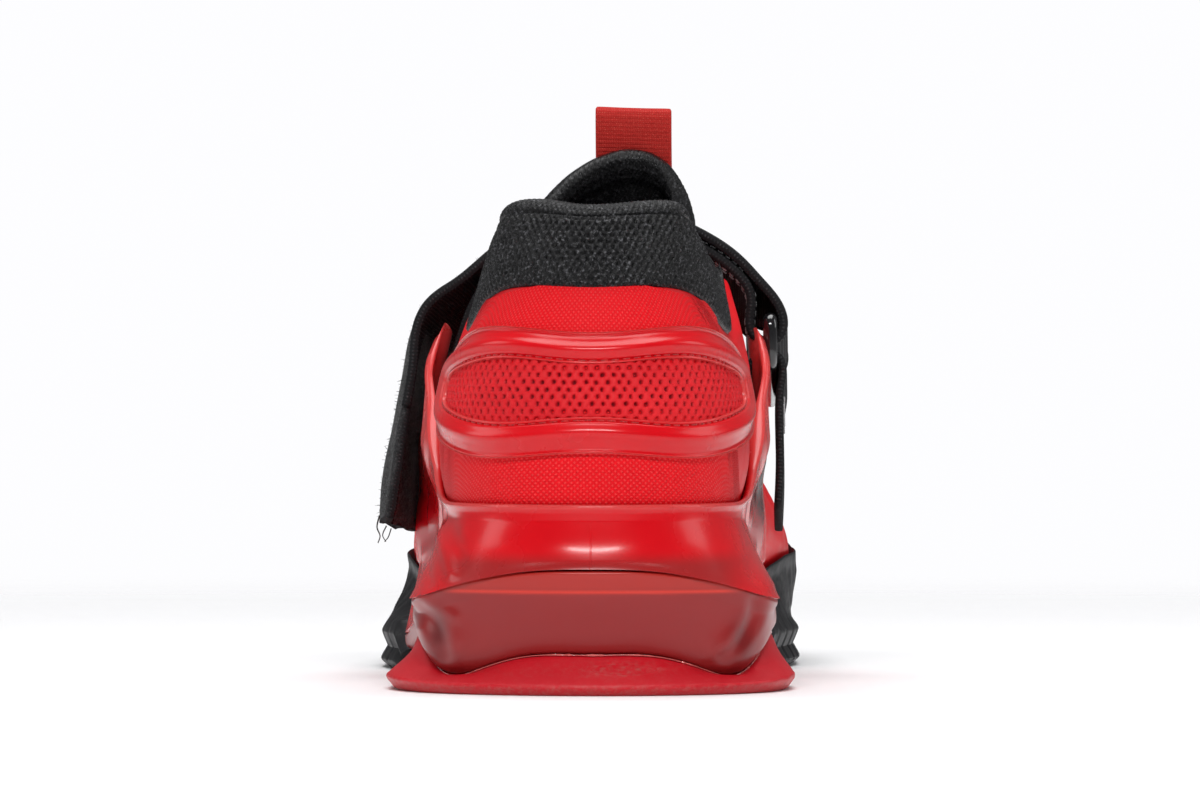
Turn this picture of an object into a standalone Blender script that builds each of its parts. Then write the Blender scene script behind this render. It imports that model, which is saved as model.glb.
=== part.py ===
"""Left weightlifting shoe, a men's US 9, built from its last outwards.

The shoe points along +Y, its inner (medial) side is +X and the floor is z = 0.
Tables and sizes are in millimetres, measured from the back of the heel and from
the shoe's long axis. MM turns them into Blender's metres.
"""

import math

import bmesh
import bpy
import numpy as np
from mathutils import Vector

MM = 0.001

# Driving dimensions
SOLE_LENGTH = 296.0
FIT_GAP = 0.35
SEAT_GAP = 0.45
RUBBER_GAP = 0.6
UPPER_WALL = 2.4
INSOLE_THICKNESS = 4.0
STRAP_WIDTH = 38.0
STRAP_THICKNESS = 2.2
RING_BAR = 3.6
TONGUE_THICKNESS = 5.0
LACE_WIDTH = 6.0
LACE_THICKNESS = 1.6
EYELET_RADIUS = 2.3
PULL_LOOP_WIDTH = 19.0
CENTRE_X = -5.0
CENTRE_Y = 148.0

# How finely the last is sampled before the pieces are read from it
LAST_ANGLES = 240
LAST_STEPS = 80
HALF_TURN = math.pi
HEEL_FADE = 4

# The floor line of the tread and the line of the footbed: along, height
TREAD_LINE = ((0, 0), (228, 0), (250, 1.3), (270, 4.4), (284, 7.6), (296, 11.0))
BED_LINE = (
    (0, 33),
    (55, 32.5),
    (100, 26.5),
    (146, 18.5),
    (190, 15.5),
    (228, 16),
    (262, 20),
    (296, 27.5),
)

# Rings of the last, from the feather edge up to the collar and the ridge of the vamp.
# Each row: along, medial half, lateral half, height. The first and last rows are the
# back of the heel and the tip of the toe.
FEATHER_RING = (
    (9, 0, 0, 33),
    (23, 22, -22, 33),
    (50, 30, -31, 32.5),
    (105, 27.5, -33.5, 25.6),
    (146, 31, -40, 18.5),
    (188, 41, -47, 15.6),
    (215, 43, -46.5, 15.7),
    (246, 39, -39, 18),
    (266, 33, -30, 20.6),
    (278, 23.5, -15.5, 23),
    (284, 6, 6, 24),
)
BULGE_RING = (
    (4, 0, 0, 60),
    (18, 27, -27, 59),
    (47, 37.2, -37.6, 56),
    (104, 35, -39, 50),
    (146, 38, -46, 41),
    (189, 46, -51.5, 32),
    (218, 46.5, -50.5, 29),
    (248, 42.5, -43.5, 30),
    (270, 36, -33.5, 32),
    (283, 25, -17, 34),
    (289.5, 6, 6, 35),
)
SIDE_RING = (
    (6.5, 0, 0, 80),
    (20, 25.5, -25.5, 80),
    (49, 35, -35.2, 77),
    (104, 33, -35.5, 74),
    (146, 34, -40, 61),
    (188, 41, -46, 46),
    (215, 42, -45, 40),
    (246, 37.5, -38, 40),
    (266, 31.5, -28.5, 43),
    (279, 21.5, -12.5, 45),
    (286, 6, 6, 46),
)
SHOULDER_RING = (
    (11, 0, 0, 100),
    (24, 22.5, -22, 99),
    (50, 30, -29, 92),
    (100, 29, -28, 97),
    (122, 27, -27, 94),
    (145, 25, -27.5, 80),
    (180, 28, -29.5, 61),
    (215, 29, -29, 49.5),
    (242, 26, -23, 48),
    (260, 20.5, -13, 50),
    (276, 6, 6, 52),
)
TOP_RING = (
    (15.5, 0, 0, 118),
    (24, 17, -16, 118),
    (40, 25, -23.5, 112),
    (62, 28.5, -27, 101),
    (84, 29, -27, 102.5),
    (102, 25.5, -21, 109),
    (112, 17, -7, 110),
    (120, 7, 7, 108),
    (146, 5, 5, 91.5),
    (170, 3.5, 3.5, 77.5),
    (192, 3, 3, 67),
    (215, 3, 3, 59),
    (240, 4, 4, 54.5),
    (262, 6, 6, 54),
)

# Where the red shell stops, measured down from the top ring: along the top, margin.
# Behind the ankle the padded collar takes over, and in front the throat is open.
SHELL_MARGIN = (
    (15.5, 20),
    (30, 20),
    (45, 19),
    (62, 14),
    (80, 9),
    (96, 5),
    (103, 3.5),
    (112, 10),
    (120, 19),
    (146, 17.5),
    (170, 15),
    (182, 12.5),
    (188, 9.5),
    (192, 6),
    (194, 0),
    (262, 0),
)
COLLAR_FRONT = 96.0
THROAT_FRONT = 194.0

# Sole rings: along, medial half, lateral half, height
HEEL_TREAD_RING = (
    (2, 0, 0, 0),
    (9.5, 28, -28, 0),
    (24, 42, -43, 0),
    (43, 46.8, -49, 0),
    (76, 44, -47, 0),
    (106, 38.5, -44.5, 0),
    (150, 41, -51, 0),
    (296, 8, 8, 0),
)
HEEL_LIP_RING = (
    (0, 0, 0, 2.2),
    (7.5, 29, -29, 2.4),
    (22, 44.2, -45.4, 3),
    (42, 49.2, -51.4, 3.4),
    (75, 46, -49.2, 3),
    (106, 40, -46, 2.4),
    (150, 42, -52, 2.4),
    (296, 8, 8, 2.4),
)
HEEL_FLARE_RING = (
    (4.6, 0, 0, 5.8),
    (10, 25, -25, 5.2),
    (21.5, 38.5, -38.5, 4.8),
    (40, 44.6, -44.8, 8.4),
    (74, 43.2, -45, 7.6),
    (106, 38.6, -44.2, 6),
    (150, 41, -51, 5),
    (296, 8, 8, 5),
)
HEEL_SEAM_RING = (
    (8, 0, 0, 9.6),
    (10.5, 17, -17, 9),
    (14, 26, -26, 6.4),
    (20, 34, -34, 4.2),
    (28, 39.4, -39.4, 8),
    (40, 42.2, -42.4, 13),
    (72, 41.8, -43.4, 12),
    (106, 37.6, -43, 9.4),
    (138, 40, -48.4, 5.6),
    (150, 42, -51, 5.4),
    (296, 8, 8, 5.4),
)
HEEL_CORE_RING = (
    (20, 0, 0, 9),
    (24, 15, -15, 9),
    (36, 26, -26, 9),
    (54, 32, -32, 9),
    (80, 32, -34, 9),
    (106, 29, -34, 8.6),
    (138, 32, -40, 5.4),
    (150, 33, -42, 5.4),
    (296, 8, 8, 5.4),
)
WEDGE_LOW_RING = (
    (5.4, 0, 0, 14.5),
    (8.6, 19, -19, 14),
    (14, 30, -30, 12),
    (21, 38.6, -38.6, 10.5),
    (30, 42.6, -42.6, 13),
    (42, 43.8, -44.2, 16),
    (72, 43, -44.6, 15),
    (106, 39, -44.6, 12.6),
    (138, 41.5, -50, 7.6),
    (150, 43, -52, 7),
    (296, 8, 8, 7),
)
WEDGE_FACE_RING = (
    (2.2, 0, 0, 24),
    (6, 20, -20, 23.6),
    (13, 32, -32, 21.4),
    (22, 40.6, -40.6, 18.6),
    (33, 43.6, -43.6, 18.4),
    (45, 44, -44.6, 19.2),
    (72, 43.2, -45, 18.6),
    (106, 39.6, -45, 15.6),
    (138, 42, -50.4, 9),
    (150, 43.4, -52.2, 8.2),
    (296, 8, 8, 8.2),
)
WEDGE_RIM_RING = (
    (0.6, 0, 0, 30),
    (4.6, 20, -20, 29.2),
    (12, 33.5, -33.5, 26.4),
    (22, 42, -42, 23.2),
    (33, 44.8, -44.8, 22),
    (46, 44.8, -45.2, 22),
    (72, 43.6, -45.6, 21),
    (106, 40, -45.4, 18),
    (138, 42.4, -50.6, 10.8),
    (150, 43.6, -52.4, 9.4),
    (296, 8, 8, 9.4),
)
WEDGE_SEAT_RING = (
    (7.5, 0, 0, 30),
    (12, 19, -19, 30),
    (24, 31.5, -31.5, 30),
    (46, 37, -37.4, 30),
    (72, 36.6, -38.4, 27.4),
    (106, 33.6, -38.8, 21.6),
    (138, 35.6, -43.6, 11.2),
    (150, 37, -45.6, 9.4),
    (296, 8, 8, 9.4),
)
HEEL_TREAD_FRONT = 106.0
WEDGE_FRONT = 146.0

# The forefoot tread: edge outline, and how far each step of its side lies inside it
FOREFOOT_EDGE_RING = (
    (2, 0, 0, 2),
    (20, 36, -36, 2),
    (60, 40, -43, 2),
    (100, 37, -44, 2),
    (132, 40, -48.6, 2),
    (160, 45, -57, 2),
    (186, 49.4, -60, 2),
    (212, 49.6, -57.5, 2),
    (238, 46.8, -51, 2),
    (260, 42, -41.5, 2),
    (277, 35, -29.5, 2),
    (288.5, 27, -18.5, 2),
    (294.3, 17, -6.5, 2),
    (296, 6, 6, 2),
)
FOREFOOT_STEPS = (
    ("floor", 2.6, 0.0),
    ("edge", 0.0, 2.2),
    ("notch", 1.9, 5.6),
    ("rib", 0.3, 9.6),
    ("shelf", 2.4, 13.0),
)
FOREFOOT_REAR = 146.35
TREAD_THICKNESS = 5.0

# Height of the rubber that wraps the forefoot, and of the cage that holds the heel
RUBBER_TOP = (
    (0, 6),
    (146.4, 6),
    (149, 10),
    (158, 20.5),
    (170, 27),
    (185, 29.5),
    (228, 30),
    (262, 34),
    (280, 41),
    (296, 45),
)
CAGE_TOP = (
    (0, 46),
    (38, 46),
    (56, 48),
    (72, 55),
    (86, 68),
    (97, 83),
    (104, 88),
    (114, 86),
    (126, 75),
    (138, 58),
    (150, 40),
    (162, 27),
    (296, 27),
)
CAGE_WALL_TOP = 1.7
CAGE_SHARES = (0.12, 0.3, 0.5, 0.74, 1.0)
CAGE_FLARE = 1.3
WING_STAND_OFF = 4.6
WING_ROOT = 44.0
WING_FULL = 62.0
RUBBER_EDGE = 1.3
FOREFOOT_STATIONS = (147.5, 149, 153, 158, 164, 170, 178, 186, 197, 208, 220, 232, 243, 254)

# The counter band: reach round the heel (radians), top, bottom and waist of each edge,
# and its section from the inner edge to the outer
BAND_INNER = (0.74, 79.6, 67.1, 1.9)
BAND_OUTER = (0.91, 87.3, 58.4, 2.4)
BAND_PROFILE = (
    (0.0, 0.5),
    (0.06, 1.8),
    (0.3, 2.7),
    (0.62, 1.9),
    (0.94, 1.5),
    (1.0, 0.5),
    (0.67, 0.6),
    (0.33, 0.6),
)

# The padded collar: thickness and how far it reaches down inside, at back and front
COLLAR_BACK_PAD = 10.5
COLLAR_END_PAD = 5.5
COLLAR_BACK_DROP = 26.0
COLLAR_END_DROP = 8.0

# The tongue: where its sections leave the throat, its half width there, and how its
# top rows rise from the last section (across, along, up, half width)
TONGUE_ROWS = ((186, 27), (177, 27), (166, 26), (154, 25), (142, 24), (131, 22), (122, 21))
TONGUE_RISE = (
    (0.3, -10, 6.5, 20.5),
    (0.6, -19, 14, 20),
    (1.0, -27, 22, 19),
    (1.2, -31, 27, 17),
    (1.3, -33, 30, 14.5),
)
TONGUE_COLUMNS = 10

# The pull loop, seen from the side: along, height
PULL_LOOP_PATH = (
    (99.7, 121.6),
    (95.1, 126.6),
    (91.1, 131.5),
    (89.4, 136.2),
    (88.6, 140.6),
    (89.2, 142.8),
    (90.9, 143.1),
    (92.1, 141.3),
    (92.9, 137.6),
    (94.6, 133.4),
    (98.2, 128.9),
    (103.0, 123.7),
)
PULL_LOOP_X = 8.4
PULL_LOOP_THICKNESS = 1.5

# The strap's path at its rear edge, and the way across to its front edge, as x, z,
# across x, y, z, thickness and the middle's bow: from the inside end, over the instep,
# round the ring's upper bar and back to the hanging end
STRAP_REAR = 110.0
STRAP_PATH = (
    (-39.1, 69, -1.8, 37.5, -4, 2.2, 0.6),
    (-38.1, 76, -0.2, 37.5, -4, 2.2, 1.4),
    (-35.6, 86, 3.6, 37, -6, 2.2, 2.5),
    (-31.6, 96.4, 7, 35.5, -8, 2.2, 3),
    (-24, 105.6, 8, 34, -12, 2.2, 2.5),
    (-12, 112.8, 5, 33, -14.5, 2.2, 1.4),
    (6, 116, 0, 32, -16, 2.2, 0.5),
    (23, 110.2, -3, 34, -14, 2.2, 1),
    (33, 103.8, -1, 35, -13, 2.2, 1),
    (39.4, 97.4, 0, 36.5, -11, 2.2, 0.4),
    (41.6, 92.6, 0, 37, -9, 2.2, 0),
    (41.9, 89.4, 0, 37, -9, 2.2, 0),
    (43.2, 87.6, 0, 37, -9, 2.2, 0),
    (45.2, 87.0, 0, 37, -9, 2.2, 0),
    (47.6, 88, 0, 37, -9, 2.2, 0),
    (48.7, 90.5, 0, 37, -9, 2.2, 0),
    (47.9, 93.4, 0, 37, -9, 2.2, 0),
    (45.2, 97, 0, 37, -9, 2.2, 0),
    (41.6, 100.2, 0, 36.5, -11, 2.2, -0.4),
    (34.9, 106, -1, 35, -13, 2.2, -1),
    (24.2, 112.8, -3, 34, -14, 2.2, -1),
    (6.3, 118.8, 0, 32, -16, 2.2, -0.5),
    (-13, 115.4, 5, 33, -14.5, 2.2, -1.4),
    (-25.8, 108, 8, 34, -12, 2.2, -2.5),
    (-34.6, 99.6, 8, 35.5, -9, 2.2, -2.5),
    (-41.5, 94, 7, 36.4, -8, 2.2, -1.5),
    (-45.9, 88, 5, 37, -7, 2.2, -1),
    (-48.4, 78, 3, 37.3, -5, 2.2, -0.6),
    (-51, 66, 2.5, 37.5, -4, 3.2, -0.4),
    (-55, 50, 2.5, 37.3, -4, 3.2, 0),
    (-57, 39.4, 2.5, 37, -4, 3.0, 0),
)

# The ring: centre of its upper and lower bars at the rear edge, and its length
RING_X = 45.2
RING_HEIGHTS = (91.4, 80.2)
RING_LENGTH = 45.0
RING_CORNER = 3.0
RING_LEAN = -9.0 / 37.0
RING_REAR = 106.0
RING_TAB_REAR = 111.5

# The ring's webbing tab: x, z down each leg, round the lower bar
TAB_PATH = (
    (44.2, 56),
    (43.2, 65),
    (42.3, 74),
    (41.9, 79.6),
    (43.2, 81.6),
    (45.2, 82.3),
    (47.2, 81.6),
    (48.5, 79.6),
    (48.7, 74),
    (48.4, 64),
    (47.8, 54),
    (46.8, 44.5),
)
TAB_THICKNESS = 2.0
TAB_WIDTH = 34.0

# The laces: the eyelet rows along the throat, and how far they lie from its edge
EYELET_ROWS = (182.0, 171.0, 160.0, 149.0, 138.0)
EYELET_INSET = 6.5
LACE_CLEARANCE = 0.6

# Sections of each piece
UPPER_ANGLES = 64
UPPER_STEPS = 9
THROAT_END_STATIONS = (183, 188, 191, 193)
COLLAR_SECTIONS = 33
BAND_SECTIONS = 40
CAGE_TIP_STATIONS = (149.0, 153.0, 158.0, 161.0)
MIDSOLE_SECTIONS = 26
HEEL_SECTIONS = 18
WAIST_SECTIONS = 8
TOE_SECTIONS = 9


class Spline:
    """A smooth curve through values at given places. period closes it round."""

    def __init__(self, places, values, period=None):
        self.places = np.asarray(places, float)
        self.values = np.asarray(values, float)
        self.period = period
        self.bends = self._solve()

    def _solve(self):
        places, values, count = self.places, self.values, len(self.places)
        matrix = np.zeros((count, count))
        right = np.zeros(count)
        for i in range(count):
            if self.period is None and i in (0, count - 1):
                matrix[i, i] = 1.0
                continue
            before, after = (i - 1) % count, (i + 1) % count
            back = places[i] - places[before]
            ahead = places[after] - places[i]
            if self.period is not None:
                back, ahead = back % self.period, ahead % self.period
            matrix[i, before] += back / 6
            matrix[i, i] += (back + ahead) / 3
            matrix[i, after] += ahead / 6
            right[i] = (values[after] - values[i]) / ahead - (
                values[i] - values[before]
            ) / back
        return np.linalg.solve(matrix, right)

    def __call__(self, where):
        where = np.asarray(where, float)
        places, values, bends = self.places, self.values, self.bends
        if self.period is not None:
            where = (where - places[0]) % self.period + places[0]
            places = np.append(places, places[0] + self.period)
            values = np.append(values, values[0])
            bends = np.append(bends, bends[0])
        i = np.clip(np.searchsorted(places, where, "right") - 1, 0, len(places) - 2)
        width = places[i + 1] - places[i]
        a = (places[i + 1] - where) / width
        b = 1 - a
        return (
            a * values[i]
            + b * values[i + 1]
            + ((a**3 - a) * bends[i] + (b**3 - b) * bends[i + 1]) * width**2 / 6
        )


def along_table(rows):
    """A height or margin that follows the shoe's length, as straight-line steps."""
    places, values = zip(*rows)
    return lambda along: np.interp(along, places, values)


tread_height = along_table(TREAD_LINE)
bed_height = Spline(*zip(*BED_LINE))
rubber_top = along_table(RUBBER_TOP)
cage_top = along_table(CAGE_TOP)
shell_margin = along_table(SHELL_MARGIN)


class Ring:
    """A closed outline round the foot. Angle 0 is the heel and half a turn the toe;
    angles up to half a turn run along the medial side, the others along the lateral.
    own_span spaces it between its own ends, as the rings of the last are; the sole's
    rings share one spacing, and each leaves it only close to the heel."""

    def __init__(self, rows, own_span=False):
        self.heel, self.toe = rows[0][0], rows[-1][0]
        self.own_span = own_span
        self.fine_angles = np.linspace(0, HALF_TURN, 721)
        self.fine_along = self.along(self.fine_angles)
        angles, across, heights = [], [], []
        for along, medial, _, height in rows:
            angles.append(self.angle_of(along))
            across.append(medial)
            heights.append(height)
        for along, _, lateral, height in rows[-2:0:-1]:
            angles.append(2 * HALF_TURN - self.angle_of(along))
            across.append(lateral)
            heights.append(height)
        self.across = Spline(angles, across, 2 * HALF_TURN)
        self.height = Spline(angles, heights, 2 * HALF_TURN)

    def angle_of(self, along):
        return float(np.interp(along, self.fine_along, self.fine_angles))

    def along(self, angles):
        share = (1 - np.cos(angles)) / 2
        if self.own_span:
            return self.heel + (self.toe - self.heel) * share
        return self.toe * share + self.heel * (1 - share) ** HEEL_FADE

    def points(self, angles):
        angles = np.asarray(angles, float)
        return np.stack(
            [self.across(angles), self.along(angles), self.height(angles)], -1
        )


class Last:
    """The outside of the upper as a surface: angle round the foot, share up the wall."""

    def __init__(self, rings, angles=LAST_ANGLES, steps=LAST_STEPS):
        self.angles = np.linspace(0, 2 * HALF_TURN, angles, endpoint=False)
        self.top = rings[-1]
        loops = np.stack([ring.points(self.angles) for ring in rings])
        past_throat = self.top.along(self.angles) > 119
        centre = Spline(*zip(*[(row[0], row[1]) for row in TOP_RING if row[0] > 119]))
        loops[-1, past_throat, 0] = centre(self.top.along(self.angles))[past_throat]
        walls = [self._wall(loops[:, i], steps) for i in range(angles)]
        self.points = np.stack([wall for wall, _ in walls])
        self.lengths = np.array([length for _, length in walls])
        round_step = np.roll(self.points, -1, 0) - np.roll(self.points, 1, 0)
        up_step = np.gradient(self.points, axis=1)
        normals = np.cross(round_step, up_step)
        sizes = np.linalg.norm(normals, axis=2, keepdims=True)
        upwards = np.broadcast_to((0.0, 0.0, 1.0), normals.shape)
        self.normals = np.where(sizes > 1e-6, normals / np.maximum(sizes, 1e-6), upwards)

    def _wall(self, knots, steps):
        """One section through the rings, resampled evenly, and its length."""
        chord = np.linalg.norm(np.diff(knots, axis=0), axis=1)
        at = np.concatenate([[0], np.cumsum(chord)])
        slopes = np.empty_like(knots)
        slopes[1:-1] = (knots[2:] - knots[:-2]) / (at[2:] - at[:-2])[:, None]
        slopes[0] = (knots[1] - knots[0]) / chord[0]
        last_leg = (knots[-1] - knots[-2]) / chord[-1]
        level = last_leg * (1, 1, 0)
        closing = np.clip((knots[-1][1] - 100) / 20, 0, 1)
        slopes[-1] = last_leg * (1 - closing) + level * closing
        fine = []
        for i in range(len(chord)):
            t = np.linspace(0, 1, 14, endpoint=False)[:, None]
            fine.append(
                (2 * t**3 - 3 * t**2 + 1) * knots[i]
                + (t**3 - 2 * t**2 + t) * chord[i] * slopes[i]
                + (3 * t**2 - 2 * t**3) * knots[i + 1]
                + (t**3 - t**2) * chord[i] * slopes[i + 1]
            )
        fine = np.concatenate(fine + [knots[-1:]])
        run = np.concatenate([[0], np.cumsum(np.linalg.norm(np.diff(fine, axis=0), axis=1))])
        even = np.linspace(0, run[-1], steps + 1)
        wall = np.stack([np.interp(even, run, fine[:, k]) for k in range(3)], -1)
        return wall, run[-1]

    def _blend(self, field, angle, share):
        count, steps = len(self.angles), self.points.shape[1] - 1
        a = (angle / (2 * HALF_TURN) * count) % count
        s = np.clip(share, 0, 1) * steps
        i, j = int(a) % count, min(int(s), steps - 1)
        u, v = a - int(a), s - j
        k = (i + 1) % count
        low = field[i, j] * (1 - u) + field[k, j] * u
        high = field[i, j + 1] * (1 - u) + field[k, j + 1] * u
        return low * (1 - v) + high * v

    def point(self, angle, share, out=0.0):
        normal = self._blend(self.normals, angle, share)
        return self._blend(self.points, angle, share) + out * normal / np.linalg.norm(
            normal
        )

    def length(self, angle):
        return float(np.interp(angle % (2 * HALF_TURN), self.angles, self.lengths))

    def below_top(self, angle, distance, out=0.0):
        """The point this far down the wall from the top ring."""
        return self.point(angle, 1 - distance / self.length(angle), out)

    def share_at_height(self, angle, height):
        shares = np.linspace(0, 1, 61)
        heights = [self.point(angle, share)[2] for share in shares]
        crest = int(np.argmax(heights)) + 1
        return float(np.interp(height, heights[:crest], shares[:crest]))

    def at_height(self, angle, height, out=0.0):
        return self.point(angle, self.share_at_height(angle, height), out)

    def angle_at(self, along, side):
        """The angle whose section meets the top ring at this distance along."""
        return side * self.top.angle_of(along) % (2 * HALF_TURN)


LAST_ROWS = (FEATHER_RING, BULGE_RING, SIDE_RING, SHOULDER_RING, TOP_RING)
LAST = Last([Ring(rows, own_span=True) for rows in LAST_ROWS])
FEATHER = Ring(FEATHER_RING, own_span=True)
RIM = Ring(WEDGE_RIM_RING)
SEAT = Ring(WEDGE_SEAT_RING)
SEAM = Ring(HEEL_SEAM_RING)
CORE = Ring(HEEL_CORE_RING)
FOREFOOT_EDGE = Ring(FOREFOOT_EDGE_RING)


def clear_scene():
    for old in list(bpy.data.objects):
        bpy.data.objects.remove(old)


def material(name, colour, roughness, metallic=0.0):
    made = bpy.data.materials.new(name)
    made.use_nodes = True
    shader = made.node_tree.nodes["Principled BSDF"]
    shader.inputs["Base Color"].default_value = (*colour, 1.0)
    shader.inputs["Roughness"].default_value = roughness
    shader.inputs["Metallic"].default_value = metallic
    return made


def finish_mesh(name, work, finish, parts, origin):
    """Welds and outfaces a bmesh and links it as a sub-part under the origin empty."""
    bmesh.ops.remove_doubles(work, verts=work.verts, dist=0.02 * MM)
    bmesh.ops.dissolve_degenerate(work, edges=work.edges, dist=0.005 * MM)
    bmesh.ops.recalc_face_normals(work, faces=work.faces)
    mesh = bpy.data.meshes.new(name)
    work.to_mesh(mesh)
    work.free()
    mesh.materials.append(finish)
    made = bpy.data.objects.new(name, mesh)
    made.parent = origin
    parts.objects.link(made)
    mesh.shade_smooth()
    mesh.set_sharp_from_angle(angle=math.radians(35))
    return made


def add_grid(work, grid, wrap_rows=False, wrap_columns=False, flip=False):
    """Triangles over a grid of points. Returns its vertices, row by row. flip turns
    their diagonals, so that two pieces that meet can share them."""
    verts = [[work.verts.new(Vector(p) * MM) for p in row] for row in grid]
    rows, columns = len(verts), len(verts[0])
    for i in range(rows if wrap_rows else rows - 1):
        for j in range(columns if wrap_columns else columns - 1):
            a, b = verts[i], verts[(i + 1) % rows]
            k = (j + 1) % columns
            if flip:
                work.faces.new((a[j], a[k], b[j]))
                work.faces.new((a[k], b[k], b[j]))
            else:
                work.faces.new((a[j], a[k], b[k]))
                work.faces.new((a[j], b[k], b[j]))
    return verts


def swept_solid(sections, closed=False, flip=False):
    """A bmesh body through closed sections; open ends are capped."""
    work = bmesh.new()
    verts = add_grid(work, sections, wrap_rows=closed, wrap_columns=True, flip=flip)
    if not closed:
        for section, ring in ((sections[0], verts[0]), (sections[-1], verts[-1])):
            if not is_folded(section):
                work.faces.new(ring)
    return work


def is_folded(section):
    """True where a section's two sides have met, so that it needs no cap."""
    points = np.array(section)
    return bool(np.allclose(points, points[::-1], atol=0.01))


def side_pair(rings, angle):
    """The points of a stack of rings on the medial side, and on the lateral side."""
    mirrored = 2 * HALF_TURN - angle
    return (
        np.array([ring.points(angle) for ring in rings]),
        np.array([ring.points(mirrored) for ring in rings]),
    )


def sole_angles(last_along):
    """The angles at which the heel's pieces are cut into sections, up to a distance."""
    heel = np.linspace(0, RIM.angle_of(HEEL_TREAD_FRONT), HEEL_SECTIONS)
    waist = np.linspace(heel[-1], RIM.angle_of(WEDGE_FRONT), WAIST_SECTIONS)
    angles = np.concatenate([heel, waist[1:]])
    return angles[angles <= RIM.angle_of(last_along) + 1e-6]


def sole_solid(rings, last_along, flip=False):
    """A body from the heel forward between the two sides of a stack of rings, listed
    from the underside up, cut square at its front."""
    sections = []
    for angle in sole_angles(last_along):
        medial, lateral = side_pair(rings, angle)
        sections.append(np.concatenate([medial, lateral[::-1]]))
    sections[-1][:, 1] = last_along
    return swept_solid(sections, flip=flip)


class Lifted:
    """A ring moved up or down, so that two pieces meet with a gap."""

    def __init__(self, ring, rise):
        self.ring, self.rise = ring, rise

    def points(self, angle):
        return self.ring.points(angle) + np.array([0, 0, self.rise])


def outwards(angle, height):
    """The last's outward direction at a height, laid level."""
    normal = LAST.at_height(angle, height, 1.0) - LAST.at_height(angle, height)
    normal[2] = 0
    return normal / np.linalg.norm(normal)


def beside_last(angle, height, out):
    """A point outside the last at a height; under the feather edge it stays below it."""
    feather = LAST.point(angle, 0)
    if height >= feather[2]:
        return LAST.at_height(angle, height, out)
    point = feather + out * outwards(angle, feather[2] + 1)
    point[2] = height
    return point


def make_helper(name, work, parts, origin):
    """A mesh used only by a modifier, left out of the render."""
    mesh = bpy.data.meshes.new(name)
    bmesh.ops.recalc_face_normals(work, faces=work.faces)
    work.to_mesh(mesh)
    work.free()
    made = bpy.data.objects.new(name, mesh)
    made.parent = origin
    made.hide_render = True
    parts.objects.link(made)
    return made


def eyelet(along, side, out=0.0):
    """The centre of an eyelet on the last, moved outwards by out."""
    angle = LAST.angle_at(along, side)
    distance = float(shell_margin(along)) + EYELET_INSET
    return LAST.below_top(angle, distance, out)


def eyelet_cutters(parts, origin):
    """Round bars through the shell, one for each eyelet."""
    work = bmesh.new()
    for along in EYELET_ROWS:
        for side in (1, -1):
            inner, outer = eyelet(along, side, -5.0), eyelet(along, side, 3.0)
            axis = Vector(outer - inner)
            turn = axis.to_track_quat("Z", "Y").to_matrix().to_4x4()
            turn.translation = Vector((inner + outer) / 2) * MM
            bmesh.ops.create_cone(
                work,
                cap_ends=True,
                segments=8,
                radius1=EYELET_RADIUS * MM,
                radius2=EYELET_RADIUS * MM,
                depth=axis.length * MM,
                matrix=turn,
            )
    return make_helper("eyelet_cutters", work, parts, origin)


def make_upper(finish, parts, origin):
    """The red shell: one wall from the feather edge to the collar seam and throat."""
    even = np.linspace(0, 2 * HALF_TURN, UPPER_ANGLES, endpoint=False)
    round_end = [LAST.angle_at(y, side) for y in THROAT_END_STATIONS for side in (1, -1)]
    angles = np.unique(np.concatenate([even, round_end]))
    grid = []
    for angle in angles:
        margin = shell_margin(LAST.top.along(angle))
        end = 1 - margin / LAST.length(angle)
        grid.append([LAST.point(angle, end * j / UPPER_STEPS) for j in range(UPPER_STEPS + 1)])
    work = bmesh.new()
    add_grid(work, grid, wrap_rows=True)
    made = finish_mesh("upper", work, finish, parts, origin)
    wall = made.modifiers.new("Wall", "SOLIDIFY")
    wall.thickness = UPPER_WALL * MM
    wall.offset = -1
    wall.use_even_offset = True
    eyelets = made.modifiers.new("Eyelets", "BOOLEAN")
    eyelets.operation = "DIFFERENCE"
    eyelets.solver = "EXACT"
    eyelets.object = eyelet_cutters(parts, origin)
    return made


def make_collar(finish, parts, origin):
    """The padded mesh collar: outside above the seam, over the top and down inside."""
    reach = LAST.top.angle_of(COLLAR_FRONT)
    sections = []
    for angle in np.linspace(-reach, reach, COLLAR_SECTIONS):
        margin = float(shell_margin(LAST.top.along(angle)))
        fullness = math.cos(angle / reach * HALF_TURN / 2) ** 0.5
        pad = COLLAR_END_PAD + (COLLAR_BACK_PAD - COLLAR_END_PAD) * fullness
        drop = COLLAR_END_DROP + (COLLAR_BACK_DROP - COLLAR_END_DROP) * fullness
        inside = -UPPER_WALL - 0.9
        profile = (
            (margin - 1.3, 0.5),
            (margin * 0.8 - 1, 1.5),
            (margin * 0.35, 1.3),
            (1.0, -0.6),
            (-1.4, -3.2),
            (-1.0, -pad * 0.75),
            (margin * 0.4, -pad),
            (margin + 6, -pad * 0.92),
            (margin + drop * 0.7, -pad * 0.7),
            (margin + drop, inside - 1.2),
            (margin + drop, inside),
            (margin + 1, inside),
            (margin - 1.3, inside),
        )
        sections.append([collar_point(angle, below, out) for below, out in profile])
    work = swept_solid(sections)
    return finish_mesh("collar", work, finish, parts, origin)


def collar_point(angle, below, out):
    """A point near the top ring; above it, it rises straight up."""
    point = LAST.below_top(angle % (2 * HALF_TURN), max(below, 0.0), out)
    return point + np.array([0, 0, max(-below, 0.0)])


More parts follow.
